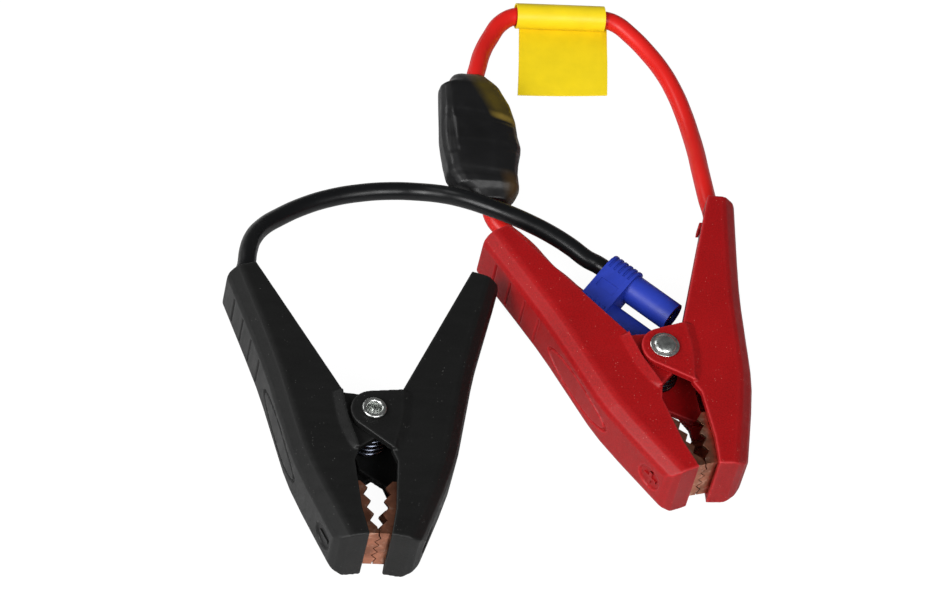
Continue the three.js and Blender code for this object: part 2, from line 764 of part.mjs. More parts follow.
// Crimped terminal: its barrel takes the end of the lead, its tab lies on the jaw's tongue.
const tabX = (y) => {
  const share = (y - jawBack) / (tongueEnd - jawBack);
  return jawWebAt(jawBack) + 2 * share + GAP;
};

function terminal(side) {
  const middle = BODY_HEIGHT / 2;
  const leadEnd = leadInHandle(side)[0];
  const outer = LEAD_DIAMETER / 2 + TERMINAL_WALL;
  const front = tongueEnd - 4.9;
  const bend = tongueEnd + 2.1;
  const root = tabX(tongueEnd + 6.1);
  const barrelEnd = [side * (root + outer - 1), -1.5, middle];
  const barrelStart = [leadEnd[0], leadEnd[1] - 3 * GAP, middle];
  const tab = [
    [tabX(front) + 0.1, front],
    [tabX(bend) + 0.1, bend],
    [root + 1.2, -1],
    [root + 3.6, -1],
    [tabX(bend) + 0.1 + TERMINAL_TAB, bend],
    [tabX(front) + 0.1 + TERMINAL_TAB, front],
  ];
  return join(
    rod(outer, barrelStart, barrelEnd, 16),
    prism(mirrored(tab, side), middle - 3, middle + 3),
  ).subtract(
    rod(
      TERMINAL_RIVET_DIAMETER / 2 + GAP,
      [side * 6, terminalRivetY, middle],
      [side * 30, terminalRivetY, middle],
      16,
    ),
  );
}

function terminalRivet(side) {
  const middle = BODY_HEIGHT / 2;
  const inside = tabX(terminalRivetY) - GAP - COPPER - GAP;
  const outside = tabX(terminalRivetY) + TERMINAL_TAB + 0.1 + 2 * GAP;
  const at = (x) => [side * x, terminalRivetY, middle];
  const head = TERMINAL_RIVET_DIAMETER / 2 + 1;
  return join(
    rod(head, at(inside - 0.9), at(inside - 0.2), 16),
    rod(TERMINAL_RIVET_DIAMETER / 2, at(inside - 0.3), at(outside + 0.3), 16),
    rod(head, at(outside + 0.2), at(outside + 0.9), 16),
  );
}

// Semi-tubular rivet: its domed head on one side, its rolled tail on the other.
function pivotRivet(headOnTop) {
  const shank = RIVET_DIAMETER / 2;
  const bore = shank - RIVET_WALL;
  const under = LUGS.lowerOuter[0] - GAP;
  const over = LUGS.upperOuter[1] + GAP;
  const profile = headOnTop
    ? [
        [0, under + 3.2],
        [bore, under + 3.2],
        [bore, under - 0.2],
        [3.3, under - 0.7],
        [3.6, under],
        [shank, under],
        [shank, over],
        [4.3, over],
        [4.3, over + 0.45],
        [3.6, over + 0.5],
        [3.2, over + 1.1],
        [2, over + 1.7],
        [0, over + 1.9],
      ]
    : [
        [0, under - 0.7],
        [4.1, under - 0.7],
        [4.1, under],
        [shank, under],
        [shank, over],
        [3.6, over],
        [3.6, over + 0.5],
        [3.1, over + 0.95],
        [2.5, over + 0.9],
        [bore + 0.25, over + 0.4],
        [bore, over - 3],
        [0, over - 3],
      ];
  return turned(profile, 28);
}

// Bush between the inner lugs, round the rivet and inside the spring.
function springBush() {
  const bore = RIVET_DIAMETER / 2 + GAP;
  const outer = bore + BUSH_WALL;
  const low = LUGS.lowerInner[1] + GAP;
  const high = LUGS.upperInner[0] - GAP;
  return rod(outer, [0, 0, low], [0, 0, high], 24).subtract(
    rod(bore, [0, 0, low - 1], [0, 0, high + 1], 24),
  );
}

// Clip that grips the lead behind the handle's mouth.
function leadClip(side) {
  const line = leadInHandle(side);
  const [x, y, z] = line.at(-2);
  const [nextX, nextY] = line.at(-1);
  const along = new THREE.Vector3(nextX - x, nextY - y, 0).normalize();
  const half = along.clone().multiplyScalar(CLIP_LENGTH / 2);
  const middle = new THREE.Vector3(x, y, z);
  const from = middle.clone().sub(half).toArray();
  const to = middle.clone().add(half).toArray();
  const bore = LEAD_DIAMETER / 2 + GAP;
  const ring = rod(bore + CLIP_SHEET, from, to, 20).subtract(
    rod(
      bore,
      middle.clone().sub(along.clone().multiplyScalar(CLIP_LENGTH)).toArray(),
      middle.clone().add(along.clone().multiplyScalar(CLIP_LENGTH)).toArray(),
      20,
    ),
  );
  return ring.subtract(box(3, 12, 8, x, y, z + bore + 2));
}

function clamp(colour, leadSide, headOnTop, at, turn) {
  const group = new THREE.Group();
  group.position.set(at[0], at[1], 0);
  group.rotation.z = THREE.MathUtils.degToRad(turn);
  assembly.add(group);
  const shell = `${colour}_plastic`;
  addMesh(group, `${colour}_lead_half`, clampHalf(leadSide, true), shell);
  addMesh(group, `${colour}_free_half`, clampHalf(-leadSide, false), shell);
  addMesh(group, `${colour}_lead_jaw`, jaw(leadSide), 'copper');
  addMesh(group, `${colour}_free_jaw`, jaw(-leadSide), 'copper');
  addMesh(group, `${colour}_lead_jaw_rivet`, jawRivet(leadSide), 'steel');
  addMesh(group, `${colour}_free_jaw_rivet`, jawRivet(-leadSide), 'steel');
  addMesh(group, `${colour}_pivot_rivet`, pivotRivet(headOnTop), 'steel');
  addMesh(group, `${colour}_spring_bush`, springBush(), 'steel');
  addMesh(group, `${colour}_torsion_spring`, spring(leadSide), 'spring_steel');
  addMesh(group, `${colour}_lead_terminal`, terminal(leadSide), 'copper');
  addMesh(group, `${colour}_terminal_rivet`, terminalRivet(leadSide), 'steel');
  addMesh(group, `${colour}_lead_clip`, leadClip(leadSide), 'spring_steel');
  group.updateMatrixWorld(true);
  return group;
}

const blackClamp = clamp('black', -1, false, BLACK_PIVOT, BLACK_TURN);
const redClamp = clamp('red', 1, true, RED_PIVOT, RED_TURN);

const inSet = (group, point) => new THREE.Vector3(...point).applyMatrix4(group.matrixWorld).toArray();

// ---------------------------------------------------------------- connector

// Drawn with its poles along X, its mouths towards +Y and its middle at the back of the collar.
function stadium(radius) {
  const half = POLE_PITCH / 2;
  return [...arc(half, 0, radius, -90, 90, 8), ...arc(-half, 0, radius, 90, 270, 8)];
}

function alongY(points, from, to) {
  const geometry = new THREE.ExtrudeGeometry(shapeFrom(points), {
    depth: to - from,
    bevelEnabled: false,
  });
  geometry.rotateX(Math.PI / 2);
  geometry.translate(0, to, 0);
  return solidFrom(geometry);
}

function connectorHousing() {
  const total = COLLAR_LENGTH + SOCKET_TUBE_LENGTH;
  let housing = alongY(stadium(COLLAR_RADIUS - GRIP_DEPTH), 0, COLLAR_LENGTH);
  const step = (COLLAR_LENGTH - GRIP_RIB) / (GRIP_RIBS - 1);
  for (let i = 0; i < GRIP_RIBS; i++) {
    housing = housing.add(alongY(stadium(COLLAR_RADIUS), i * step, i * step + GRIP_RIB));
  }
  // the flat sides are smooth, with a shallow panel
  const middle = COLLAR_LENGTH / 2;
  const flat = POLE_PITCH - 0.8;
  housing = housing.add(box(flat, COLLAR_LENGTH - 0.02, 2 * COLLAR_RADIUS - 0.02, 0, middle, 0));
  for (const way of [-1, 1]) {
    const z = way * COLLAR_RADIUS;
    housing = housing.subtract(box(PANEL[0], PANEL[1], 2 * PANEL_DEPTH, 0, middle, z));
  }
  for (const pole of [-1, 1]) {
    const x = (pole * POLE_PITCH) / 2;
    housing = housing.add(
      rod(SOCKET_TUBE_DIAMETER / 2, [x, COLLAR_LENGTH - 2, 0], [x, total, 0], 24),
    );
  }
  for (const pole of [-1, 1]) {
    const x = (pole * POLE_PITCH) / 2;
    housing = housing.subtract(
      rod(CONTACT_DIAMETER / 2 + GAP, [x, -1, 0], [x, total + 1, 0], 24),
    );
  }
  return housing;
}

// A gilt socket: the mouth for the plug in front, a cup for the lead's conductor behind.
function contact(pole) {
  const x = (pole * POLE_PITCH) / 2;
  const front = COLLAR_LENGTH + SOCKET_TUBE_LENGTH - CONTACT_SETBACK;
  const bore = BULLET_DIAMETER / 2;
  return rod(CONTACT_DIAMETER / 2, [x, CONTACT_BACK, 0], [x, front, 0], 24)
    .subtract(rod(bore, [x, front - CONTACT_BORE_DEPTH, 0], [x, front + 1, 0], 24))
    .subtract(rod(bore, [x, CONTACT_BACK - 1, 0], [x, CONTACT_BACK + CUP_DEPTH, 0], 24));
}

const connector = new THREE.Group();
{
  const lean = THREE.MathUtils.degToRad(CONNECTOR_ROLL);
  connector.rotation.order = 'ZYX';
  connector.rotation.z = THREE.MathUtils.degToRad(CONNECTOR_TURN);
  connector.rotation.y = lean;
  const lowerPole = new THREE.Vector3(POLE_PITCH / 2, 0, 0).applyEuler(connector.rotation);
  connector.position.set(
    COLLAR_BACK[0] - lowerPole.x,
    COLLAR_BACK[1] - lowerPole.y,
    COLLAR_RADIUS + 0.06 - lowerPole.z,
  );
  assembly.add(connector);
  connector.updateMatrixWorld(true);
}
addMesh(connector, 'connector_housing', connectorHousing(), 'blue_nylon');
addMesh(connector, 'negative_contact', contact(-1), 'gold');
addMesh(connector, 'positive_contact', contact(1), 'gold');

// ---------------------------------------------------------------- diode module

// Section of the sleeve along its length: place, left, right, bottom, top.
const SLEEVE_SECTIONS = [
  [116.8, -4.2, 6.8, 1.2, 9],
  [115.2, -5, 7.6, 0.8, 10],
  [113.4, -5.8, 9, 0.4, 10.8],
  [111.6, -8.5, 10.4, 0.3, 11.4],
  [104.5, -8.9, 13.2, 0.3, 12],
  [98, -9.2, 14.5, 0.3, 12.2],
  [92.5, -9.5, 14.8, 0.3, 12],
  [88, -9.3, 15.5, 0.3, 12.1],
  [83, -8.9, 14.4, 0.3, 12.2],
  [78, -8.2, 13.8, 0.3, 12],
  [73.5, -5.6, 14.1, 0.3, 11],
  [71.6, -1.9, 13, 0.5, 9.6],
  [68.8, 1, 10.4, 0.9, 8.3],
];

function sleeveRing([y, left, right, bottom, top], inset) {
  const ring = [];
  const count = 18;
  for (let i = 0; i < count; i++) {
    const angle = (2 * Math.PI * i) / count;
    const soft = (value) => Math.sign(value) * Math.abs(value) ** 0.62;
    ring.push([
      (left + right) / 2 + ((right - left) / 2 - inset) * soft(Math.cos(angle)),
      y,
      (bottom + top) / 2 + ((top - bottom) / 2 - inset) * soft(Math.sin(angle)),
    ]);
  }
  return ring;
}

function shrinkSleeve() {
  const outside = loft(SLEEVE_SECTIONS.map((section) => sleeveRing(section, 0)));
  const inner = SLEEVE_SECTIONS.slice(1, -1).map((section) => sleeveRing(section, SLEEVE_WALL));
  const bore = LEAD_DIAMETER / 2 + GAP;
  const [inX, inY, inZ] = SLEEVE_LEADS.in;
  const [outX, outY, outZ] = SLEEVE_LEADS.out;
  return outside
    .subtract(loft(inner))
    .subtract(rod(bore, [inX, inY - 8, inZ], [inX, inY + 3, inZ], 20))
    .subtract(rod(bore, [outX, outY - 3, outZ], [outX, outY + 8, outZ], 20));
}

function diode(index) {
  const y = PACK_MIDDLE[1] + (index - (DIODE_COUNT - 1) / 2) * (DIODE_WIDTH + GAP);
  const body = box(DIODE_DEPTH, DIODE_WIDTH, DIODE_HEIGHT, PACK_MIDDLE[0], y, PACK_MIDDLE[2]);
  const span = DIODE_DEPTH + 2 * (BUS_DISTANCE - COPPER / 2 - GAP);
  const feet = box(span, 1.4, 0.8, PACK_MIDDLE[0], y, PACK_MIDDLE[2]);
  return body.add(feet);
}

// Copper strip along the diodes' feet, with a cup for a lead at one end.
function busStrip(way, leadEnd) {
  const x = PACK_MIDDLE[0] + way * (DIODE_DEPTH / 2 + BUS_DISTANCE);
  const length = DIODE_COUNT * (DIODE_WIDTH + GAP);
  const [leadX, leadY, leadZ] = leadEnd;
  const towards = Math.sign(leadY - PACK_MIDDLE[1]);
  const endY = PACK_MIDDLE[1] + (towards * length) / 2;
  const cupInner = leadY - towards * BUS_CUP_REACH;
  const z = PACK_MIDDLE[2];
  const strip = box(COPPER, length, BUS_HEIGHT, x, PACK_MIDDLE[1], z);
  const bridge = prism(
    [
      [x - COPPER / 2, endY - towards * GAP],
      [x + COPPER / 2, endY - towards * GAP],
      [leadX + 1.6, cupInner + towards * 0.6],
      [leadX - 1.6, cupInner + towards * 0.6],
    ],
    z - 1.6,
    z + 0.4,
  );
  const cup = rod(
    LEAD_DIAMETER / 2 - 0.1,
    [leadX, cupInner, leadZ],
    [leadX, leadY - towards * (5 + GAP), leadZ],
    16,
  );
  return join(strip, bridge, cup);
}

function tapeWrap() {
  const length = DIODE_COUNT * (DIODE_WIDTH + GAP) - 2;
  const width = DIODE_DEPTH + 2 * (BUS_DISTANCE + COPPER / 2 + GAP + TAPE);
  const height = DIODE_HEIGHT + 1.6;
  const [x, y, z] = PACK_MIDDLE;
  return box(width, length, height, x, y, z).subtract(
    box(width - 2 * TAPE, length + 2, height - 2 * TAPE, x, y, z),
  );
}

addMesh(assembly, 'shrink_sleeve', shrinkSleeve(), 'shrink');
addMesh(assembly, 'tape_wrap', tapeWrap(), 'amber_tape');
for (let i = 0; i < DIODE_COUNT; i++) {
  addMesh(assembly, `diode_${i + 1}`, diode(i), 'diode_epoxy');
}
addMesh(assembly, 'input_bus_strip', busStrip(-1, SLEEVE_LEADS.in), 'copper');
addMesh(assembly, 'output_bus_strip', busStrip(1, SLEEVE_LEADS.out), 'copper');

// ---------------------------------------------------------------- leads

// Points that a lead passes, laid by hand between the pieces that hold its ends.
const BLACK_ROUTE = [
  [-70.6, 37.6, 10],
  [-69.7, 43.6, 9.3],
  [-68, 49.4, 8],
  [-64.6, 55.2, 6.2],
  [-59, 60.8, 4.4],
  [-51.8, 66, 3.3],
  [-43.6, 69.9, 2.9],
  [-34, 72.6, 2.8],
  [-24.6, 73.6, 3.2],
  [-16.6, 72.8, 4.4],
  [-9.6, 70.2, 7],
  [-3.4, 66.5, 9.8],
  [2.9, 62.9, 11.4],
  [9.2, 59.8, 11.9],
  [15.6, 56.8, 11.6],
  [21.8, 53.6, 10.9],
  [27.4, 50, 10.1],
  [32.2, 46.3, 9.3],
];
const RED_CLAMP_ROUTE = [
  [71.1, 70.4, 10.2],
  [70.7, 77, 9.4],
  [70.5, 84.6, 7.9],
  [70.5, 92.4, 5.9],
  [70, 100.8, 4.1],
  [68.9, 109.4, 3.1],
  [66.9, 118.2, 2.8],
  [63.8, 126.6, 2.8],
  [59.4, 134.4, 2.9],
  [54.4, 140.8, 3.3],
  [50.2, 144.6, 3.7],
  [46.3, 145.9, 3.85],
  [39.3, 145.8, 3.85],
  [32.3, 145.6, 3.85],
  [25.3, 145.4, 3.85],
  [18.2, 145.25, 3.85],
  [13.6, 142.5, 3.5],
  [9.8, 136.6, 3.1],
  [6.8, 130, 3.8],
  [4.8, 123.2, 4.9],
];
const RED_CONNECTOR_ROUTE = [
  [6.2, 64, 3.8],
  [9.4, 60.2, 3],
  [12.7, 57.1, 2.8],
  [15.9, 53.5, 2.8],
  [18.7, 49.4, 2.8],
  [21.4, 45.2, 3.2],
  [24.6, 40.9, 4.4],
];

const connectorPoint = (pole, back) =>
  inSet(connector, [(pole * POLE_PITCH) / 2, -back, 0]);

function leadFromClamp(group, side, route, end) {
  const inside = leadInHandle(side).slice(-2).map((point) => inSet(group, point));
  return [...inside, ...route, ...end];
}

const blackLead = leadFromClamp(blackClamp, -1, BLACK_ROUTE, [
  connectorPoint(-1, 3),
  connectorPoint(-1, -CONTACT_BACK + GAP),
]);
const [inX, inY, inZ] = SLEEVE_LEADS.in;
const redClampLead = leadFromClamp(redClamp, 1, RED_CLAMP_ROUTE, [
  [inX, inY, inZ],
  [inX, inY - 5, inZ],
]);
const [outX, outY, outZ] = SLEEVE_LEADS.out;
const redConnectorLead = [
  [outX, outY + 5, outZ],
  [outX, outY, outZ],
  ...RED_CONNECTOR_ROUTE,
  connectorPoint(1, 3),
  connectorPoint(1, -CONTACT_BACK + GAP),
];

addMesh(assembly, 'black_lead', tube(blackLead, LEAD_DIAMETER, LEAD_SIDES, 28), 'black_silicone');
addMesh(
  assembly,
  'red_clamp_lead',
  tube(redClampLead, LEAD_DIAMETER, LEAD_SIDES, 34),
  'red_silicone',
);
addMesh(
  assembly,
  'red_connector_lead',
  tube(redConnectorLead, LEAD_DIAMETER, LEAD_SIDES, 18),
  'red_silicone',
);

// The inner stretch of a lead, from the terminal to the clip.
function leadTail(side) {
  const line = leadInHandle(side).slice(0, -1);
  const last = line.at(-1);
  const before = line.at(-2);
  const length = Math.hypot(last[0] - before[0], last[1] - before[1]);
  const back = GAP / length;
  line[line.length - 1] = [
    last[0] + (before[0] - last[0]) * back,
    last[1] + (before[1] - last[1]) * back,
    last[2],
  ];
  return tube(line, LEAD_DIAMETER, LEAD_SIDES, 10);
}
addMesh(blackClamp, 'black_lead_tail', leadTail(-1), 'black_silicone');
addMesh(redClamp, 'red_lead_tail', leadTail(1), 'red_silicone');

// ---------------------------------------------------------------- label

// A folded sticker: a loose loop round the lead, and a flag that lies towards the clamps.
function label() {
  const outer = LABEL_LOOP_RADIUS + LABEL_SHEET;
  const ends = [-LABEL_WIDTH / 2, LABEL_WIDTH / 2];
  const loop = rod(outer, [ends[0], 0, 0], [ends[1], 0, 0], 24).subtract(
    rod(LABEL_LOOP_RADIUS, [ends[0] - 1, 0, 0], [ends[1] + 1, 0, 0], 24),
  );
  // places along the flag, how far its middle and its lifted side stand up there
  const stations = [
    [1, 0, 0],
    [9, 0.55, 0.1],
    [17, 1, 0.45],
    [24, 0.6, 0.75],
    [FLAG_LENGTH, 0, 1],
  ];
  const across = 4;
  const rings = stations.map(([reach, arch, lift]) => {
    const shift = FLAG_SHIFT - (FLAG_SKEW * reach) / FLAG_LENGTH;
    const edge = Array.from({ length: across + 1 }, (_, i) => {
      const share = i / across;
      const z = -outer + FLAG_ARCH * arch + FLAG_LIFT * lift * share * share;
      return [ends[0] + LABEL_WIDTH * share + shift, -reach, z];
    });
    const above = edge.map(([x, y, z]) => [x, y, z + LABEL_SHEET]).reverse();
    return [...edge, ...above];
  });
  return loop.add(loft(rings));
}
{
  const holder = new THREE.Group();
  holder.position.set(...LABEL_AT);
  holder.rotation.z = THREE.MathUtils.degToRad(LABEL_TURN);
  assembly.add(holder);
  addMesh(holder, 'lead_label', label(), 'yellow_label');
}

assembly.userData.leadLengths = {
  black: pathLength(blackLead),
  redClamp: pathLength(redClampLead),
  redConnector: pathLength(redConnectorLead),
};

export default assembly;
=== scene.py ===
"""Looks of a jump starter's clamp lead set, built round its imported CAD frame.

Two insulated spring clamps, their silicone leads, the diode module in the positive lead, the label
folded round it and the two-pole bullet connector. Metres throughout, in the frame's own axes.
"""

import json
import math

import bpy
import numpy as np
from bpy.props import FloatProperty, FloatVectorProperty, PointerProperty
from bpy.types import Operator, Panel, PropertyGroup
from mathutils import Matrix, Vector, noise

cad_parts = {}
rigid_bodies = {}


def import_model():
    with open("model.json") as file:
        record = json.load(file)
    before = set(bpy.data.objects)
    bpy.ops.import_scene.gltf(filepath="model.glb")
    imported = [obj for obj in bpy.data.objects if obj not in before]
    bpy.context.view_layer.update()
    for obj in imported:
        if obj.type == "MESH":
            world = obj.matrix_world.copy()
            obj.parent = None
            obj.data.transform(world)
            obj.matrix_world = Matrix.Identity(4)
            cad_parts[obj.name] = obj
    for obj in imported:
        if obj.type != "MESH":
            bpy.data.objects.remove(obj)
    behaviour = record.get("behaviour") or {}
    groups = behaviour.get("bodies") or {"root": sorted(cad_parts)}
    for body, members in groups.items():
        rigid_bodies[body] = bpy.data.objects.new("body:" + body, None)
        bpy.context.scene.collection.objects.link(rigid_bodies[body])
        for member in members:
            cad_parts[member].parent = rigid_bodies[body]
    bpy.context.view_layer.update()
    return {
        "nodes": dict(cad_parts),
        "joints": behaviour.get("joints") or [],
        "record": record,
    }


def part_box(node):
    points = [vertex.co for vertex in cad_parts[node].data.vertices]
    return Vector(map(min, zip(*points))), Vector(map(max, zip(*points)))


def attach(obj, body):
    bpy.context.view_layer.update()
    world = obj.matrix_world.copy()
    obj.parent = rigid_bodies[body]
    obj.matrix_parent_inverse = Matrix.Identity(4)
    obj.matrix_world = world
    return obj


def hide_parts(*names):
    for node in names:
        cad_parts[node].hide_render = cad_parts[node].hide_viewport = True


bl_info = {
    "name": "Jump starter clamp lead set",
    "version": (1, 0, 0),
    "blender": (4, 5, 0),
    "location": "View3D > Sidebar > Clamp Leads",
    "description": "Finishes the clamps, leads, connector and module of a jump starter's lead set",
    "category": "Object",
}

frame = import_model()
NODES = frame["nodes"]
BEHAVIOUR = frame["record"]["behaviour"]
BODY_OF = {node: body for body, names in BEHAVIOUR["bodies"].items() for node in names}
SLOT_OF = {part["node"]: part["material_slot"] for part in frame["record"]["subparts"]}

MM = 0.001
MIDDLE_HEIGHT = 10.25  # of a clamp lying flat, in millimetres
SHELL_VOXEL = 0.29 * MM  # size of the shells' even faces
SHELL_KEPT = 0.62  # share of a shell's faces left after thinning
RIM_PASSES = 9  # of easing along the shells' outer rims
SLEEVE_VOXEL = 0.42 * MM
SLEEVE_PASSES = 3

# Each clamp: which side its lead runs in (-1 left, 1 right), how far it is turned, and its sign.
CLAMPS = {
    "black": {"lead_side": -1, "turn": 0.0, "joint": "black_clamp_open", "sign": "minus"},
    "red": {"lead_side": 1, "turn": 13.5, "joint": "red_clamp_open", "sign": "plus"},
}

# Points that the leads pass, the same as in the construction, in metres. The first two lie in the
# handle: in its clip and in its mouth.
BLACK_ROUTE = [
    (-0.06813, 0.02017, 0.01025),
    (-0.07233, 0.03037, 0.01025),
    (-0.0706, 0.0376, 0.01),
    (-0.0697, 0.0436, 0.0093),
    (-0.068, 0.0494, 0.008),
    (-0.0646, 0.0552, 0.0062),
    (-0.059, 0.0608, 0.0044),
    (-0.0518, 0.066, 0.0033),
    (-0.0436, 0.0699, 0.0029),
    (-0.034, 0.0726, 0.0028),
    (-0.0246, 0.0736, 0.0032),
    (-0.0166, 0.0728, 0.0044),
    (-0.0096, 0.0702, 0.007),
    (-0.0034, 0.0665, 0.0098),
    (0.0029, 0.0629, 0.0114),
    (0.0092, 0.0598, 0.0119),
    (0.0156, 0.0568, 0.0116),
    (0.0218, 0.0536, 0.0109),
    (0.0274, 0.05, 0.0101),
    (0.0322, 0.0463, 0.0093),
]
RED_CLAMP_ROUTE = [
    (0.0702, 0.0533, 0.01025),
    (0.0719, 0.0642, 0.01025),
    (0.0711, 0.0704, 0.0102),
    (0.0707, 0.077, 0.0094),
    (0.0705, 0.0846, 0.0079),
    (0.0705, 0.0924, 0.0059),
    (0.07, 0.1008, 0.0041),
    (0.0689, 0.1094, 0.0031),
    (0.0669, 0.1182, 0.0028),
    (0.0638, 0.1266, 0.0028),
    (0.0594, 0.1344, 0.0029),
    (0.0544, 0.1408, 0.0033),
    (0.0502, 0.1446, 0.0037),
    (0.0463, 0.1459, 0.00385),
    (0.0393, 0.1458, 0.00385),
    (0.0323, 0.1456, 0.00385),
    (0.0253, 0.1454, 0.00385),
    (0.0182, 0.14525, 0.00385),
    (0.0136, 0.1425, 0.0035),
    (0.0098, 0.1366, 0.0031),
    (0.0068, 0.13, 0.0038),
    (0.0048, 0.1232, 0.0049),
    (0.0032, 0.1164, 0.0054),
    (0.0032, 0.1126, 0.0054),
]
RED_CONNECTOR_ROUTE = [
    (0.005, 0.0738, 0.0046),
    (0.005, 0.0688, 0.0046),
    (0.0062, 0.064, 0.0038),
    (0.0094, 0.0602, 0.003),
    (0.0127, 0.0571, 0.0028),
    (0.0159, 0.0535, 0.0028),
    (0.0187, 0.0494, 0.0028),
    (0.0214, 0.0452, 0.0032),
    (0.0246, 0.0409, 0.0044),
]


def ramp(value, edge, soft):
    """0 below an edge, 1 above it, easing over a soft stretch."""
    share = min(1.0, max(0.0, 0.5 + (value - edge) / (2 * soft)))
    return share * share * (3 - 2 * share)


# ------------------------------------------------------------------ selecting and applying


def deselect_all():
    """Leaves edit mode and selects nothing."""
    if bpy.context.object and bpy.context.object.mode != "OBJECT":
        bpy.ops.object.mode_set(mode="OBJECT")
    bpy.ops.object.select_all(action="DESELECT")


def make_active(piece):
    """Selects one piece alone and makes it the active one."""
    deselect_all()
    piece.select_set(True)
    bpy.context.view_layer.objects.active = piece


def apply_modifiers(piece):
    """Applies every modifier of a piece, in order."""
    make_active(piece)
    for modifier in list(piece.modifiers):
        bpy.ops.object.modifier_apply(modifier=modifier.name)


def move_mesh(piece, matrix):
    """Moves a piece's mesh and leaves its object at the origin."""
    piece.data.transform(matrix)
    piece.data.update()


def new_mesh_piece(name, vertices, edges):
    """A piece made of points and the edges between them."""
    mesh = bpy.data.meshes.new(name)
    mesh.from_pydata(vertices, edges, [])
    piece = bpy.data.objects.new(name, mesh)
    bpy.context.collection.objects.link(piece)
    return piece


def rename(piece, name):
    """Names a piece and its mesh."""
    piece.name = name
    piece.data.name = name


def cad_copy(node, name, join_flats=True):
    """A copy of a CAD node, on request with its loose triangles joined into whole flat faces."""
    piece = bpy.data.objects.new(name, NODES[node].data.copy())
    piece.data.materials.clear()
    bpy.context.collection.objects.link(piece)
    make_active(piece)
    bpy.ops.object.mode_set(mode="EDIT")
    bpy.ops.mesh.select_all(action="SELECT")
    bpy.ops.mesh.remove_doubles(threshold=0.004 * MM)
    bpy.ops.mesh.customdata_custom_splitnormals_clear()
    if join_flats:
        bpy.ops.mesh.dissolve_limited(angle_limit=math.radians(0.6))
    bpy.ops.object.mode_set(mode="OBJECT")
    return piece


def round_edges(piece, width, angle=30):
    """Rounds the edges sharper than an angle."""
    bevel = piece.modifiers.new("edges", "BEVEL")
    bevel.width = width
    bevel.segments = 2
    bevel.limit_method = "ANGLE"
    bevel.angle_limit = math.radians(angle)
    bevel.use_clamp_overlap = True
    bevel.miter_outer = "MITER_ARC"
    weighted = piece.modifiers.new("normals", "WEIGHTED_NORMAL")
    weighted.keep_sharp = True
    weighted.weight = 60
    make_active(piece)
    bpy.ops.object.shade_smooth()
    apply_modifiers(piece)


def even_mesh(piece, voxel, passes):
    """Rebuilds the surface in even small faces and eases its edges a little."""
    remesh = piece.modifiers.new("even", "REMESH")
    remesh.mode = "VOXEL"
    remesh.voxel_size = voxel
    ease = piece.modifiers.new("ease", "SMOOTH")
    ease.factor = 0.5
    ease.iterations = passes
    apply_modifiers(piece)


def ease_more(piece, passes, share):
    """Eases the surface again, by a share from 0 to 1 at each point of the piece."""
    group = piece.vertex_groups.new(name="ease")
    for vertex in piece.data.vertices:
        weight = share(vertex.co)
        if weight > 0.02:
            group.add([vertex.index], weight, "REPLACE")
    ease = piece.modifiers.new("ease", "SMOOTH")
    ease.factor = 0.5
    ease.iterations = passes
    ease.vertex_group = "ease"
    apply_modifiers(piece)
    piece.vertex_groups.clear()


def mark_edges(piece, reach):
    """Stores how sharply the surface turns, from 0 flat to 1 on an edge, in "edge"."""
    mesh = piece.data
    count = len(mesh.vertices)
    place = np.empty(count * 3, np.float32)
    mesh.vertices.foreach_get("co", place)
    normal = np.empty(count * 3, np.float32)
    mesh.vertices.foreach_get("normal", normal)
    ends = np.empty(len(mesh.edges) * 2, np.int32)
    mesh.edges.foreach_get("vertices", ends)
    place, normal, ends = place.reshape(-1, 3), normal.reshape(-1, 3), ends.reshape(-1, 2)
    run = place[ends[:, 0]] - place[ends[:, 1]]
    turn = ((normal[ends[:, 0]] - normal[ends[:, 1]]) * run).sum(1)
    bend = turn / np.maximum((run * run).sum(1), 1e-14)
    total = np.zeros(count)
    used = np.zeros(count)
    for side in (0, 1):
        np.add.at(total, ends[:, side], bend)
        np.add.at(used, ends[:, side], 1)
    edge = np.clip(total / np.maximum(used, 1) * reach, 0, 1)
    layer = mesh.attributes.new("edge", "FLOAT", "POINT")
    layer.data.foreach_set("value", edge.astype(np.float32))


def smooth(piece, angle):
    """Smooth shading, with the edges sharper than an angle left sharp."""
    make_active(piece)
    bpy.ops.object.shade_smooth_by_angle(angle=math.radians(angle))


def lathe(name, profile, steps=64):
    """A turned piece from (radius, height) corners that start and end on the axis."""
    points = [(radius, 0.0, height) for radius, height in profile]
    edges = [(i, i + 1) for i in range(len(points) - 1)]
    piece = new_mesh_piece(name, points, edges)
    screw = piece.modifiers.new("turn", "SCREW")
    screw.axis = "Z"
    screw.steps = steps
    screw.render_steps = steps
    screw.use_merge_vertices = True
    screw.merge_threshold = 0.001 * MM
    apply_modifiers(piece)
    make_active(piece)
    bpy.ops.object.mode_set(mode="EDIT")
    bpy.ops.mesh.select_all(action="SELECT")
    bpy.ops.mesh.remove_doubles(threshold=0.001 * MM)
    bpy.ops.mesh.normals_make_consistent(inside=False)
    bpy.ops.object.mode_set(mode="OBJECT")
    smooth(piece, 35)
    return piece


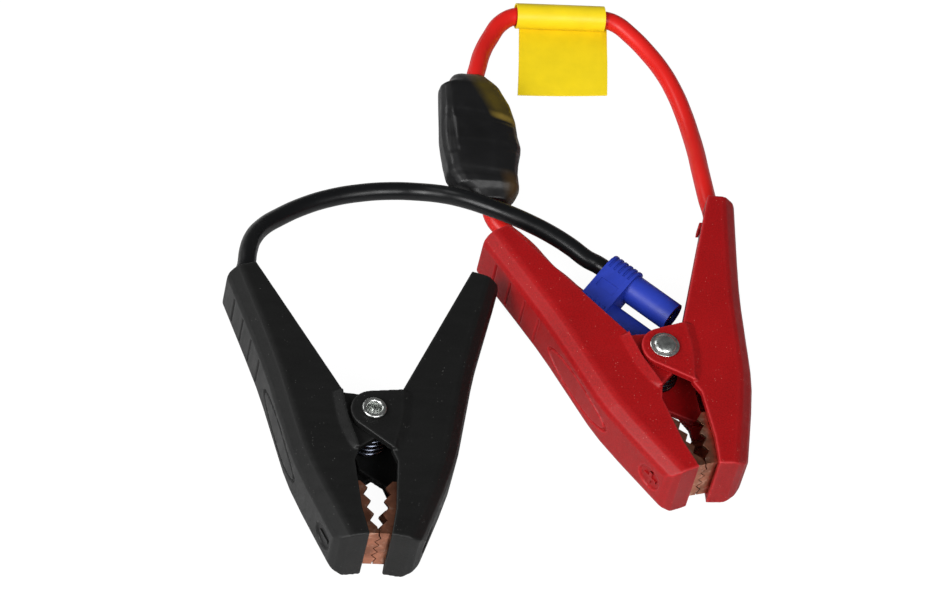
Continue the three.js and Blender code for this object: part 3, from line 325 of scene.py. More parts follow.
def wire(name, points, diameter, bevel=5, kind="BEZIER", resolution=8):
    """A round wire or lead along a smooth curve through points."""
    curve = bpy.data.curves.new(name, "CURVE")
    curve.dimensions = "3D"
    curve.bevel_depth = 1.0  # the points' radius carries the size, so the bounds are true
    curve.bevel_resolution = bevel
    curve.resolution_u = resolution
    curve.use_fill_caps = True
    spline = curve.splines.new(kind)
    if kind == "BEZIER":
        spline.bezier_points.add(len(points) - 1)
        for knot, point in zip(spline.bezier_points, points):
            knot.co = point
            knot.radius = diameter / 2
            knot.handle_left_type = "AUTO"
            knot.handle_right_type = "AUTO"
    else:
        spline.points.add(len(points) - 1)
        for knot, point in zip(spline.points, points):
            knot.co = (*point, 1.0)
            knot.radius = diameter / 2
    spline.use_smooth = True
    piece = bpy.data.objects.new(name, curve)
    bpy.context.collection.objects.link(piece)
    return piece


def wire_to_mesh(piece):
    """Makes a wire's curve a smooth mesh."""
    make_active(piece)
    bpy.ops.object.convert(target="MESH")
    smooth(piece, 50)
    return piece


def set_material(piece, material):
    """The piece's only material."""
    piece.data.materials.clear()
    piece.data.materials.append(material)


def stand_for(piece, node, material=None):
    """The piece takes the place, body and finish of a CAD node."""
    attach(piece, BODY_OF[node])
    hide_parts(node)
    if material:
        set_material(piece, material)


def clamp_place(colour):
    """Matrix from a clamp's own frame, with its pivot on the Z axis, to the set."""
    joint = next(j for j in frame["joints"] if j["name"] == CLAMPS[colour]["joint"])
    x, y, _ = joint["pos_m"]
    turn = Matrix.Rotation(math.radians(CLAMPS[colour]["turn"]), 4, "Z")
    return Matrix.Translation((x, y, 0)) @ turn


# ------------------------------------------------------------------ materials


class Nodes:
    """Short hand for building one material's node tree."""

    def __init__(self, name):
        self.material = bpy.data.materials.new(name)
        self.material.use_nodes = True
        self.tree = self.material.node_tree
        self.shader = self.tree.nodes["Principled BSDF"]
        self.place = self.add("ShaderNodeTexCoord").outputs["Object"]

    def add(self, kind, **values):
        node = self.tree.nodes.new(kind)
        for key, value in values.items():
            setattr(node, key, value)
        return node

    def link(self, source, target):
        self.tree.links.new(source, target)

    def mapping(self, scale, turn=(0, 0, 0)):
        node = self.add("ShaderNodeMapping")
        node.inputs["Scale"].default_value = scale
        node.inputs["Rotation"].default_value = turn
        self.link(self.place, node.inputs["Vector"])
        return node.outputs["Vector"]

    def noise(self, scale, detail=3.0, rough=0.55, vector=None, distortion=0.0):
        node = self.add("ShaderNodeTexNoise")
        node.inputs["Scale"].default_value = scale
        node.inputs["Detail"].default_value = detail
        node.inputs["Roughness"].default_value = rough
        node.inputs["Distortion"].default_value = distortion
        self.link(vector or self.place, node.inputs["Vector"])
        return node.outputs["Fac"]

    def cells(self, scale):
        node = self.add("ShaderNodeTexVoronoi")
        node.inputs["Scale"].default_value = scale
        self.link(self.place, node.inputs["Vector"])
        return node.outputs["Distance"]

    def remap(self, source, low, high, to_low=0.0, to_high=1.0):
        node = self.add("ShaderNodeMapRange")
        node.inputs["From Min"].default_value = low
        node.inputs["From Max"].default_value = high
        node.inputs["To Min"].default_value = to_low
        node.inputs["To Max"].default_value = to_high
        self.link(source, node.inputs["Value"])
        return node.outputs["Result"]

    def math(self, operation, first, second):
        node = self.add("ShaderNodeMath", operation=operation)
        for socket, value in zip(node.inputs, (first, second)):
            if isinstance(value, (int, float)):
                socket.default_value = value
            else:
                self.link(value, socket)
        return node.outputs["Value"]

    def mix(self, factor, first, second):
        node = self.add("ShaderNodeMix", data_type="RGBA")
        self.link(factor, node.inputs["Factor"])
        for socket, value in ((node.inputs["A"], first), (node.inputs["B"], second)):
            if isinstance(value, bpy.types.NodeSocket):
                self.link(value, socket)
            else:
                socket.default_value = (*tuple(value)[:3], 1.0)
        return node.outputs["Result"]

    def attribute(self, name):
        """The piece's own attribute of that name."""
        return self.add("ShaderNodeAttribute", attribute_name=name).outputs["Fac"]

    def ahead_of(self, x, y, way, soft=0.4 * MM):
        """1 beyond a line through (x, y) in plan whose ahead direction is way, 0 behind it."""
        dot = self.add("ShaderNodeVectorMath", operation="DOT_PRODUCT")
        self.link(self.place, dot.inputs[0])
        dot.inputs[1].default_value = (way[0], way[1], 0)
        reach = way[0] * x + way[1] * y
        return self.remap(dot.outputs["Value"], reach - soft, reach + soft)

    def bump(self, height, distance, strength=1.0, below=None):
        node = self.add("ShaderNodeBump")
        node.inputs["Distance"].default_value = distance
        node.inputs["Strength"].default_value = strength
        self.link(height, node.inputs["Height"])
        if below is not None:
            self.link(below, node.inputs["Normal"])
        return node.outputs["Normal"]

    def finish(self, colour, roughness, normal, **sockets):
        self.link(colour, self.shader.inputs["Base Color"])
        self.link(roughness, self.shader.inputs["Roughness"])
        self.link(normal, self.shader.inputs["Normal"])
        for key, value in sockets.items():
            self.shader.inputs[key.replace("_", " ")].default_value = value
        return self.material


def shade(colour, factor):
    """A colour made darker or lighter."""
    return tuple(min(1.0, channel * factor) for channel in tuple(colour)[:3])


def moulded_plastic(name, colour, painted_edge_highlight, speck, dust):
    """Moulded shell plastic: spark-eroded grain, a cloudy tone, a painted highlight along the
    sharp edges, pale dust specks.
    """
    n = Nodes(name)
    cloud = n.remap(n.noise(55, 4), 0.3, 0.7)
    tone = n.mix(cloud, shade(colour, 0.88), shade(colour, 1.12))
    pores = n.remap(n.noise(2100, 2, 0.6), 0.35, 0.65, 0.0, 0.42)
    tone = n.mix(pores, tone, shade(colour, 1.9))
    # Painted highlight: the tone along sharp edges is lightened, standing in for light catching
    # the rounded edges.
    edge_highlight_mask = n.math("MULTIPLY", n.attribute("edge"), n.remap(n.noise(400, 3), 0.3, 0.7, 0.45, 1.0))
    tone = n.mix(edge_highlight_mask, tone, painted_edge_highlight)
    dot = n.remap(n.cells(1050), 0.16, 0.10)
    sparse = n.remap(n.noise(330, 3), 0.54, 0.62, 0.0, dust)
    tone = n.mix(n.math("MULTIPLY", dot, sparse), tone, speck)
    normal = n.bump(n.noise(1900, 3, 0.6), 0.05 * MM, 0.7)
    normal = n.bump(n.noise(5200, 2, 0.5), 0.02 * MM, 0.5, normal)
    scuffs = n.noise(90, 5, 0.7, n.mapping(scale=(1, 4, 1), turn=(0, 0, 0.5)))
    roughness = n.remap(scuffs, 0.3, 0.75, 0.40, 0.54)
    return n.finish(tone, roughness, normal, Specular_IOR_Level=0.26)


def silicone(name, colour, gloss=0.3):
    """Silicone insulation: smooth and glossy, with faint ripples and lint."""
    n = Nodes(name)
    cloud = n.remap(n.noise(40, 3), 0.3, 0.7)
    tone = n.mix(cloud, shade(colour, 0.92), shade(colour, 1.08))
    lint = n.remap(n.cells(700), 0.09, 0.05, 0.0, 0.05)
    tone = n.mix(lint, tone, (0.55, 0.55, 0.55))
    ripple = n.noise(150, 2, 0.5)
    normal = n.bump(ripple, 0.03 * MM, 0.35)
    roughness = n.remap(n.noise(120, 4, 0.65), 0.3, 0.7, gloss - 0.05, gloss + 0.08)
    return n.finish(tone, roughness, normal, Specular_IOR_Level=0.28)


def pressed_copper(name, colour):
    """Copper-plated sheet: drawn streaks, darker tarnish in patches."""
    n = Nodes(name)
    tarnish = n.remap(n.noise(170, 5, 0.65), 0.42, 0.66)
    tone = n.mix(tarnish, colour, shade(colour, 0.55))
    bright = n.remap(n.noise(420, 2), 0.55, 0.7, 0.0, 0.35)
    tone = n.mix(bright, tone, (0.95, 0.68, 0.52))
    streaks = n.noise(900, 2, 0.5, n.mapping(scale=(1, 0.12, 1)))
    normal = n.bump(streaks, 0.02 * MM, 0.5)
    roughness = n.remap(n.noise(300, 4), 0.3, 0.7, 0.24, 0.46)
    return n.finish(tone, roughness, normal, Metallic=1.0)


def plated_steel(name, colour, low=0.2, high=0.42, dark=0.55):
    """Zinc-plated or oiled steel: fine scratches and cloudy spots."""
    n = Nodes(name)
    spots = n.remap(n.noise(420, 5, 0.7), 0.46, 0.68)
    tone = n.mix(spots, colour, shade(colour, dark))
    scratch = n.noise(1400, 2, 0.5, n.mapping(scale=(1, 0.08, 0.4), turn=(0, 0, 0.7)))
    dents = n.noise(600, 3)
    normal = n.bump(scratch, 0.012 * MM, 0.6)
    normal = n.bump(dents, 0.05 * MM, 0.4, normal)
    roughness = n.remap(n.noise(700, 3), 0.3, 0.7, low, high)
    return n.finish(tone, roughness, normal, Metallic=1.0)


def connector_nylon(name, colour):
    """Moulded nylon: satin, with flow marks along the tubes."""
    n = Nodes(name)
    flow = n.remap(n.noise(75, 4, 0.6, distortion=0.6), 0.3, 0.7)
    tone = n.mix(flow, shade(colour, 0.86), shade(colour, 1.18))
    normal = n.bump(n.noise(900, 3), 0.02 * MM, 0.6)
    roughness = n.remap(n.noise(160, 4), 0.3, 0.7, 0.42, 0.55)
    return n.finish(tone, roughness, normal, Specular_IOR_Level=0.35)


def label_film(name, colour):
    """Bare yellow film, a little mottled, with the soft gloss of a laminate."""
    n = Nodes(name)
    mottle = n.remap(n.noise(140, 4), 0.3, 0.7)
    tone = n.mix(mottle, shade(colour, 0.95), shade(colour, 1.05))
    fibre = n.noise(1500, 2)
    normal = n.bump(fibre, 0.01 * MM, 0.4)
    normal = n.bump(n.noise(60, 2), 0.3 * MM, 0.35, normal)
    roughness = n.remap(n.noise(200, 3), 0.3, 0.7, 0.38, 0.5)
    return n.finish(tone, roughness, normal, Specular_IOR_Level=0.3)


def plain_detail(name, colour, roughness_low, roughness_high):
    """What the sleeve holds: a mottled tone and a fine uneven surface."""
    n = Nodes(name)
    mottle = n.remap(n.noise(300, 4), 0.3, 0.7)
    tone = n.mix(mottle, shade(colour, 0.8), shade(colour, 1.15))
    normal = n.bump(n.noise(900, 3), 0.02 * MM, 0.6)
    roughness = n.remap(n.noise(450, 3), 0.3, 0.7, roughness_low, roughness_high)
    return n.finish(tone, roughness, normal)


MATERIALS = {}  # by the name of the finish


def make_materials(settings):
    """Makes every finish once, in the colours of the settings."""
    black, red = settings.black_plastic, settings.red_plastic
    # The third colour of each shell is its painted edge highlight, lighter than the plastic.
    MATERIALS["black_plastic"] = moulded_plastic(
        "black_shell", black, shade(black, 4.0), (0.26, 0.26, 0.25), 0.22
    )
    MATERIALS["red_plastic"] = moulded_plastic(
        "red_shell", red, (0.52, 0.03, 0.035), (0.80, 0.24, 0.2), 0.45
    )
    MATERIALS["black_silicone"] = silicone("black_silicone", settings.black_silicone)
    MATERIALS["red_silicone"] = silicone("red_silicone", settings.red_silicone, 0.36)
    MATERIALS["copper"] = pressed_copper("copper_plate", settings.copper)
    MATERIALS["steel"] = plated_steel("zinc_plate", settings.steel)
    MATERIALS["spring_steel"] = plated_steel("spring_wire", (0.10, 0.11, 0.14), 0.14, 0.3)
    MATERIALS["gold"] = plated_steel("gilt", (0.86, 0.6, 0.24), 0.18, 0.34, 0.8)
    MATERIALS["blue_nylon"] = connector_nylon("blue_nylon", settings.connector_blue)
    MATERIALS["yellow_label"] = label_film("label_film", settings.label_yellow)
    MATERIALS["diode_epoxy"] = plain_detail("diode_epoxy", (0.022, 0.023, 0.025), 0.5, 0.7)
    MATERIALS["amber_tape"] = plain_detail("amber_film", (0.3, 0.15, 0.02), 0.25, 0.4)


def colour_setting(name, description, default):
    """A colour that a user may change."""
    return FloatVectorProperty(
        name=name, description=description, subtype="COLOR", size=3, min=0, max=1, default=default
    )


def length_setting(name, description, low, high, default):
    """A length in metres that a user may change."""
    return FloatProperty(
        name=name,
        description=description,
        subtype="DISTANCE",
        unit="LENGTH",
        min=low,
        max=high,
        default=default,
    )


class ClampLeadSettings(PropertyGroup):
    """Sizes and colours that a user would change."""

    black_plastic: colour_setting(
        "Black plastic", "Colour of the black clamp's shells", (0.0046, 0.0047, 0.0046)
    )
    red_plastic: colour_setting(
        "Red plastic", "Colour of the red clamp's shells", (0.235, 0.0025, 0.0035)
    )
    black_silicone: colour_setting(
        "Black lead", "Colour of the negative lead", (0.004, 0.0043, 0.0048)
    )
    red_silicone: colour_setting("Red lead", "Colour of the positive leads", (0.60, 0.012, 0.009))
    connector_blue: colour_setting(
        "Connector blue", "Colour of the connector's housing", (0.014, 0.034, 0.32)
    )
    label_yellow: colour_setting("Label yellow", "Colour of the bare label", (0.80, 0.60, 0.010))
    copper: colour_setting("Copper", "Colour of the plated jaws", (0.56, 0.23, 0.14))
    steel: colour_setting("Steel", "Colour of the rivets", (0.62, 0.64, 0.62))
    # Reach of the painted highlight along the shells' edges.
    shell_edge: length_setting(
        "Shell edge", "How far rubbed tone spreads from the shells' edges", 0.0001, 0.0012, 0.0006
    )
    sheet_edge: length_setting(
        "Sheet edge", "Rounding of pressed metal edges", 0.00005, 0.0004, 0.00012
    )
    lead_diameter: length_setting(
        "Lead diameter", "Outer diameter of the silicone leads", 0.003, 0.009, 0.0055
    )
    spring_wire: length_setting(
        "Spring wire", "Diameter of the torsion springs' wire", 0.001, 0.0025, 0.0016
    )
    camera_distance: length_setting(
        "Camera distance", "From the camera to the point that it looks at", 0.3, 4, 1.3395
    )
    camera_lens: FloatProperty(
        name="Camera lens",
        description="Focal length on a 36 mm wide sensor, in millimetres",
        min=20,
        max=400,
        default=174.4,
    )


# ------------------------------------------------------------------ stage


class CLAMPLEADS_OT_stage(Operator):
    """Adds the camera, the soft lights and the pale floor"""

    bl_idname = "clampleads.stage"
    bl_label = "Stage"

    AZIMUTH = math.radians(15.1)  # of the view, from +Y towards +X
    ELEVATION = math.radians(51.637)
    ROLL = math.radians(14.54)
    TARGET = Vector((-0.00412, 0.036, 0.0))

    def execute(self, context):
        settings = context.scene.clamp_leads
        ahead = Vector(
            (
                math.sin(self.AZIMUTH) * math.cos(self.ELEVATION),
                math.cos(self.AZIMUTH) * math.cos(self.ELEVATION),
                -math.sin(self.ELEVATION),
            )
        )
        right = ahead.cross(Vector((0, 0, 1))).normalized()
        up = right.cross(ahead)
        tilted_right = right * math.cos(self.ROLL) + up * math.sin(self.ROLL)
        tilted_up = up * math.cos(self.ROLL) - right * math.sin(self.ROLL)
        camera_data = bpy.data.cameras.new("camera")
        camera_data.lens = settings.camera_lens
        camera_data.sensor_width = 36
        camera_data.clip_start = 0.01
        camera = bpy.data.objects.new("camera", camera_data)
        context.collection.objects.link(camera)
        turn = Matrix((tilted_right, tilted_up, -ahead)).transposed().to_4x4()
        place = self.TARGET - ahead * settings.camera_distance
        camera.matrix_world = Matrix.Translation(place) @ turn
        context.scene.camera = camera

        self.lamp(context, "window", (-0.85, -0.55, 0.75), 0.7, 15.0)
        self.lamp(context, "softbox", (0.25, -0.95, 1.0), 0.8, 14.0)
        self.lamp(context, "side", (-1.0, 0.85, 0.7), 0.5, 4.0)
        self.world(context)
        self.floor(context)
        context.scene.view_settings.view_transform = "Standard"
        return {"FINISHED"}

    def lamp(self, context, name, place, size, power):
        """A round soft light that aims at the set."""
        data = bpy.data.lights.new(name, "AREA")
        data.shape = "DISK"
        data.size = size
        data.energy = power
        lamp = bpy.data.objects.new(name, data)
        context.collection.objects.link(lamp)
        aim = (self.TARGET - Vector(place)).to_track_quat("-Z", "Y").to_matrix().to_4x4()
        lamp.matrix_world = Matrix.Translation(place) @ aim

    def world(self, context):
        """White behind the set, and dim in what the set reflects."""
        world = bpy.data.worlds.new("studio")
        context.scene.world = world
        world.use_nodes = True
        tree = world.node_tree
        background = tree.nodes["Background"]
        background.inputs["Color"].default_value = (1, 1, 1, 1)
        rays = tree.nodes.new("ShaderNodeLightPath")
        strength = tree.nodes.new("ShaderNodeMapRange")
        strength.inputs["To Min"].default_value = 0.12
        strength.inputs["To Max"].default_value = 1.0
        tree.links.new(rays.outputs["Is Camera Ray"], strength.inputs["Value"])
        tree.links.new(strength.outputs["Result"], background.inputs["Strength"])

    def floor(self, context):
        """A floor that the camera sees nearly white, with a faint shadow."""
        deselect_all()
        bpy.ops.mesh.primitive_plane_add(size=12, location=(0, 0, -0.00005))
        floor = context.object
        rename(floor, "floor")
        material = bpy.data.materials.new("pale_floor")
        material.use_nodes = True
        tree = material.node_tree
        surface = tree.nodes["Principled BSDF"]
        surface.inputs["Base Color"].default_value = (0.58, 0.58, 0.58, 1)
        surface.inputs["Roughness"].default_value = 0.8
        glow = tree.nodes.new("ShaderNodeEmission")
        glow.inputs["Strength"].default_value = 1.12
        rays = tree.nodes.new("ShaderNodeLightPath")
        seen = tree.nodes.new("ShaderNodeMath")
        seen.operation = "MULTIPLY"
        seen.inputs[1].default_value = 0.86
        tree.links.new(rays.outputs["Is Camera Ray"], seen.inputs[0])
        mix = tree.nodes.new("ShaderNodeMixShader")
        tree.links.new(seen.outputs["Value"], mix.inputs["Fac"])
        tree.links.new(surface.outputs["BSDF"], mix.inputs[1])
        tree.links.new(glow.outputs["Emission"], mix.inputs[2])
        tree.links.new(mix.outputs["Shader"], tree.nodes["Material Output"].inputs["Surface"])
        floor.data.materials.append(material)


# ------------------------------------------------------------------ leads


def connector_axes():
    """The connector's frame: middle of its contacts, poles along X, mouths along Y."""
    low, high = (Vector(corner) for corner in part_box("negative_contact"))
    negative = (low + high) / 2
    low, high = (Vector(corner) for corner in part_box("positive_contact"))
    positive = (low + high) / 2
    across = (positive - negative).normalized()
    ahead = Vector((0, 0, 1)).cross(across).normalized()
    up = across.cross(ahead)
    middle = (negative + positive) / 2
    turn = Matrix((across, ahead, up)).transposed().to_4x4()
    return Matrix.Translation(middle) @ turn, (positive - negative).length


COLLAR = 9.5 * MM  # length of the ribbed collar
SOCKET_TUBE = 15.3 * MM  # length of the tubes in front of the collar
CONTACT_BACK = 3.4 * MM  # from the back of the collar to the contact's back
CONTACT_INSET = 1.2 * MM  # from the tubes' mouths to the contact's front
CONTACT_MIDDLE = (CONTACT_BACK + COLLAR + SOCKET_TUBE - CONTACT_INSET) / 2


def port_points(pole):
    """Where a lead enters the collar, and where it meets its contact."""
    place, pitch = connector_axes()
    return [
        place @ Vector((pole * pitch / 2, -CONTACT_MIDDLE - 3 * MM, 0)),
        place @ Vector((pole * pitch / 2, -CONTACT_MIDDLE + CONTACT_BACK - 0.3 * MM, 0)),
    ]


def curve_length(points):
    """Length of the smooth curve that a wire takes through points."""
    probe = wire("probe", points, 1 * MM)
    measured = probe.data.splines[0].calc_length()
    bpy.data.objects.remove(probe)
    return measured


class CLAMPLEADS_OT_leads(Operator):
    """Lays the three silicone leads along their routes"""

    bl_idname = "clampleads.leads"
    bl_label = "Leads"

    def execute(self, context):
        diameter = context.scene.clamp_leads.lead_diameter
        pieces = bpy.data.objects
        negative = [pieces["connector_shell"], pieces["negative_contact_socket"]]
        module = [pieces["module_sleeve"], NODES["tape_wrap"], pieces["folded_label"]]
        module += [NODES[f"diode_{number}"] for number in (1, 2, 3)]
        module += [NODES["input_bus_strip"], NODES["output_bus_strip"]]
        positive = [pieces["positive_contact_socket"]]
        black = [*BLACK_ROUTE, *port_points(-1)]
        link = [*RED_CONNECTOR_ROUTE, *port_points(1)]
        runs = (
            ("negative_lead", "black_lead", black, "connector", negative),
            ("positive_clamp_lead", "red_clamp_lead", RED_CLAMP_ROUTE, "fitting", module),
            ("positive_connector_lead", "red_connector_lead", link, "connector", positive),
        )
        for name, node, points, far_end, carried in runs:
            lead = wire(name, points, diameter, bevel=7, resolution=10)
            stand_for(lead, node, material=MATERIALS[SLOT_OF[node]])
            curve_length(points)
        return {"FINISHED"}


# ------------------------------------------------------------------ clamp shells


class CLAMPLEADS_OT_shells(Operator):
    """Finishes the four moulded halves with rounded edges and grained plastic"""

    bl_idname = "clampleads.shells"
    bl_label = "Clamp shells"

    # In a clamp's own frame, in millimetres.
    INNER_RIM = 4.6  # the handles' inner rims, from the middle, level with the pivot
    INNER_SLOPE = 0.52  # how fast the rims part towards the handles' ends
    LUGS_Y = -2  # middle of the round area of the lugs
    LUGS_RADIUS = 11.5
    NOSE_Y = -36
    FLAT_HALF = 5.6  # half height of the sides' flats, which keep their sharp slots

    def execute(self, context):
        settings = context.scene.clamp_leads
        for colour in CLAMPS:
            for half in ("lead", "free"):
                node = f"{colour}_{half}_half"
                shell = cad_copy(node, f"{colour}_{half}_shell", join_flats=False)
                shell.data.materials.append(MATERIALS[f"{colour}_plastic"])
                even_mesh(shell, SHELL_VOXEL, 1)
                back = clamp_place(colour).inverted()
                ease_more(shell, RIM_PASSES, lambda point: self.on_rim(back @ point))
                thin = shell.modifiers.new("thin", "DECIMATE")
                thin.ratio = SHELL_KEPT
                apply_modifiers(shell)
                mark_edges(shell, settings.shell_edge)
                make_active(shell)
                bpy.ops.object.shade_smooth()
                stand_for(shell, node)
        return {"FINISHED"}

    def on_rim(self, point):
        """1 along the outer rims and the nose, 0 round the lugs and along the inner rims."""
        x, y, z = point / MM
        lugs = 1 - ramp(math.hypot(x, y - self.LUGS_Y), self.LUGS_RADIUS, 2)
        inner = ramp(abs(x) - self.INNER_RIM - self.INNER_SLOPE * max(0, y), 2.2, 1)
        nose = ramp(-y, -self.NOSE_Y, 2) * ramp(abs(x), 5.5, 1)
        middle = ramp(abs(z - MIDDLE_HEIGHT), self.FLAT_HALF, 0.8)
        return max(inner, nose) * middle * (1 - lugs)


class CLAMPLEADS_OT_pole_signs(Operator):
    """Raises the pole's sign in the round recess of each half"""

    bl_idname = "clampleads.pole_signs"
    bl_label = "Pole signs"

    RECESS_Y = -36.5 * MM
    OUTSIDE = 60 * MM  # well outside a half, to look for its recess from
    ARM = 2.5 * MM
    STROKE = 1.1 * MM
    PROUD = 0.42 * MM

    def execute(self, context):
        for colour, clamp in CLAMPS.items():
            place = clamp_place(colour)
            for half in ("lead", "free"):
                side = clamp["lead_side"] if half == "lead" else -clamp["lead_side"]
                self.sign(colour, half, side, place, clamp["sign"])
        return {"FINISHED"}

    def sign(self, colour, half, side, place, kind):
        """Sets one or two crossed bars on the floor of a half's round recess."""
        node = f"{colour}_{half}_half"
        start = place @ Vector((side * self.OUTSIDE, self.RECESS_Y, MIDDLE_HEIGHT * MM))
        way = place.to_3x3() @ Vector((-side, 0, 0))
        shell = bpy.data.objects[f"{colour}_{half}_shell"]
        hit, floor, normal, _ = shell.ray_cast(start, way)
        if not hit:
            raise RuntimeError(f"no recess found on {node}")
        along = Vector((0, 0, 1)).cross(normal).normalized()
        upright = normal.cross(along)
        arms = [(self.ARM, self.STROKE / 2)]
        if kind == "plus":
            arms.append((self.STROKE / 2, self.ARM))
        bars = []
        for half_long, half_high in arms:
            deselect_all()
            bpy.ops.mesh.primitive_cube_add(size=1)
            bar = bpy.context.object
            size = Vector((2 * half_long, 2 * half_high, 2 * self.PROUD))
            frame_at = Matrix((along, upright, normal)).transposed().to_4x4()
            move_mesh(bar, Matrix.Translation(floor) @ frame_at @ Matrix.Diagonal((*size, 1)))
            bars.append(bar)
        if len(bars) == 2:
            union = bars[0].modifiers.new("cross", "BOOLEAN")
            union.operation = "UNION"
            union.object = bars[1]
            union.solver = "EXACT"
            apply_modifiers(bars[0])
            bpy.data.objects.remove(bars[1])
        sign = bars[0]
        rename(sign, f"{colour}_{half}_{kind}_sign")
        sign.data.materials.append(MATERIALS[f"{colour}_plastic"])
        round_edges(sign, 0.12 * MM)
        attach(sign, BODY_OF[node])


# ------------------------------------------------------------------ metalwork of the clamps


class CLAMPLEADS_OT_jaws(Operator):
    """Finishes the pressed copper jaws and the lead terminals"""

    bl_idname = "clampleads.jaws"
    bl_label = "Copper jaws"

    def execute(self, context):
        edge = context.scene.clamp_leads.sheet_edge
        for colour in CLAMPS:
            for node in ("lead_jaw", "free_jaw", "lead_terminal"):
                cad = f"{colour}_{node}"
                piece = cad_copy(cad, f"{cad}_plate")
                piece.data.materials.append(MATERIALS["copper"])
                round_edges(piece, edge, angle=28)
                stand_for(piece, cad)
        return {"FINISHED"}


class CLAMPLEADS_OT_rivets(Operator):
    """Turns the pivot rivets: a domed head up on one clamp, a rolled tail up on the other"""

    bl_idname = "clampleads.rivets"
    bl_label = "Rivets"

    # Radii and heights in millimetres.
    SHANK = 2.3
    BORE = 1.7
    BORE_DEPTH = 3
    LOWER_END = 0.7  # height of what closes the underside
    HEAD = 1.9  # height of the domed head
    DOME_RADIUS = 3.5
    DOME_HEIGHT = 1.35
    ROLL = 0.95  # height of the rolled tail
    ROLL_RADIUS = 2.85  # of the middle of its round
    FLAT_HEAD = 4.1

    def execute(self, context):
        for colour in CLAMPS:
            node = f"{colour}_pivot_rivet"
            low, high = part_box(node)
            profile = self.profile(low[2] / MM, high[2] / MM, colour == "red")
            rivet = lathe(f"{colour}_rivet", [(r * MM, z * MM) for r, z in profile])
            move_mesh(rivet, clamp_place(colour))
            stand_for(rivet, node, material=MATERIALS["steel"])
        return {"FINISHED"}

    def profile(self, bottom, top, head_on_top):
        """Corners of the rivet's section, from the bottom of the axis to its top."""
        under = bottom + self.LOWER_END
        if head_on_top:
            over = top - self.HEAD
            deep = under + self.BORE_DEPTH + 0.2
            tail = [(0, deep), (self.BORE, deep), (self.BORE, bottom + 0.5)]
            tail += [(2.2, bottom + 0.12), (2.7, bottom), (3.25, bottom + 0.15), (3.6, under)]
            flange = [(self.SHANK, under), (self.SHANK, over), (4.2, over), (4.3, over + 0.12)]
            flange += [(4.3, over + 0.36), (4.15, over + 0.48), (3.55, over + 0.52)]
            spring_line = over + self.HEAD - self.DOME_HEIGHT
            dome = [
                (self.DOME_RADIUS * math.cos(a), spring_line + self.DOME_HEIGHT * math.sin(a))
                for a in (math.radians(15 * step) for step in range(6))
            ]
            return [*tail, *flange, *dome, (0, over + self.HEAD)]
        over = top - self.ROLL
        head = [(0, bottom), (self.FLAT_HEAD - 0.2, bottom)]
        head += [(self.FLAT_HEAD, bottom + 0.2), (self.FLAT_HEAD, under)]
        shank = [(self.SHANK, under), (self.SHANK, over), (3.35, over)]
        roll = [
            (self.ROLL_RADIUS + 0.72 * math.cos(a), over + 0.42 + 0.52 * math.sin(a))
            for a in (math.radians(-20 + 25 * step) for step in range(9))
        ]
        deep = over - self.BORE_DEPTH
        bore = [(self.BORE + 0.12, over - 0.1), (self.BORE, deep), (0, deep)]
        return [*head, *shank, *roll, *bore]


class CLAMPLEADS_OT_springs(Operator):
    """Winds the torsion springs round their bushes, legs along both handles"""

    bl_idname = "clampleads.springs"
    bl_label = "Torsion springs"

    RADIUS = 5.7 * MM
    LEG = 22 * MM
    LEAN = math.radians(27.5)
    TURNS = 4

    def execute(self, context):
        diameter = context.scene.clamp_leads.spring_wire
        for colour, clamp in CLAMPS.items():
            node = f"{colour}_torsion_spring"
            low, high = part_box(node)
            bottom = low[2] + diameter / 2
            top = high[2] - diameter / 2
            points = self.winding(clamp["lead_side"], bottom, top)
            spring = wire_to_mesh(wire(f"{colour}_spring", points, diameter, 4, "POLY"))
            move_mesh(spring, clamp_place(colour))
            stand_for(spring, node, material=MATERIALS["spring_steel"])
        return {"FINISHED"}

    def leg(self, side, share):
        """A point on a leg: 0 where it leaves the coil, 1 at its end."""
        start = Vector((side * math.cos(self.LEAN), -math.sin(self.LEAN))) * self.RADIUS
        run = Vector((side * math.sin(self.LEAN), math.cos(self.LEAN))) * self.LEG
        return start + run * share

    def winding(self, lead_side, bottom, top):
        """Points along a spring: in along one leg, round the coil, out along the other leg."""
        points = [(*self.leg(lead_side, 1 - i / 6), bottom) for i in range(6)]
        sweep = math.pi - 2 * self.LEAN + 2 * math.pi * self.TURNS
        steps = 40 * self.TURNS
        for i in range(steps + 1):
            angle = math.pi + self.LEAN + sweep * i / steps
            x = -lead_side * self.RADIUS * math.cos(angle)
            y = self.RADIUS * math.sin(angle)
            points.append((x, y, bottom + (top - bottom) * i / steps))
        points += [(*self.leg(-lead_side, i / 6), top) for i in range(1, 7)]
        return points


class CLAMPLEADS_OT_fittings(Operator):
    """Finishes the small fittings inside the clamps: bush, clip, small rivets, lead ends"""

    bl_idname = "clampleads.fittings"
    bl_label = "Inner fittings"

    SMALL = ("lead_jaw_rivet", "free_jaw_rivet", "terminal_rivet", "spring_bush", "lead_clip")

    def execute(self, context):
        for colour in CLAMPS:
            for part in self.SMALL:
                node = f"{colour}_{part}"
                piece = cad_copy(node, f"{node}_turned")
                piece.data.materials.append(MATERIALS[SLOT_OF[node]])
                round_edges(piece, 0.15 * MM, angle=40)
                stand_for(piece, node)
            tail = NODES[f"{colour}_lead_tail"]
            set_material(tail, MATERIALS[f"{colour}_silicone"])
            smooth(tail, 50)
        return {"FINISHED"}


# ------------------------------------------------------------------ connector


class CLAMPLEADS_OT_connector(Operator):
    """Finishes the two-pole connector: the CAD housing with rounded edges, and two gilt contacts
    """

    bl_idname = "clampleads.connector"
    bl_label = "Connector"

    def execute(self, context):
        housing = cad_copy("connector_housing", "connector_shell")
        housing.data.materials.append(MATERIALS["blue_nylon"])
        round_edges(housing, 0.16 * MM, angle=32)
        stand_for(housing, "connector_housing")
        for node in ("negative_contact", "positive_contact"):
            contact = cad_copy(node, f"{node}_socket")
            contact.data.materials.append(MATERIALS["gold"])
            round_edges(contact, 0.15 * MM, angle=32)
            stand_for(contact, node)
        return {"FINISHED"}


# ------------------------------------------------------------------ diode module


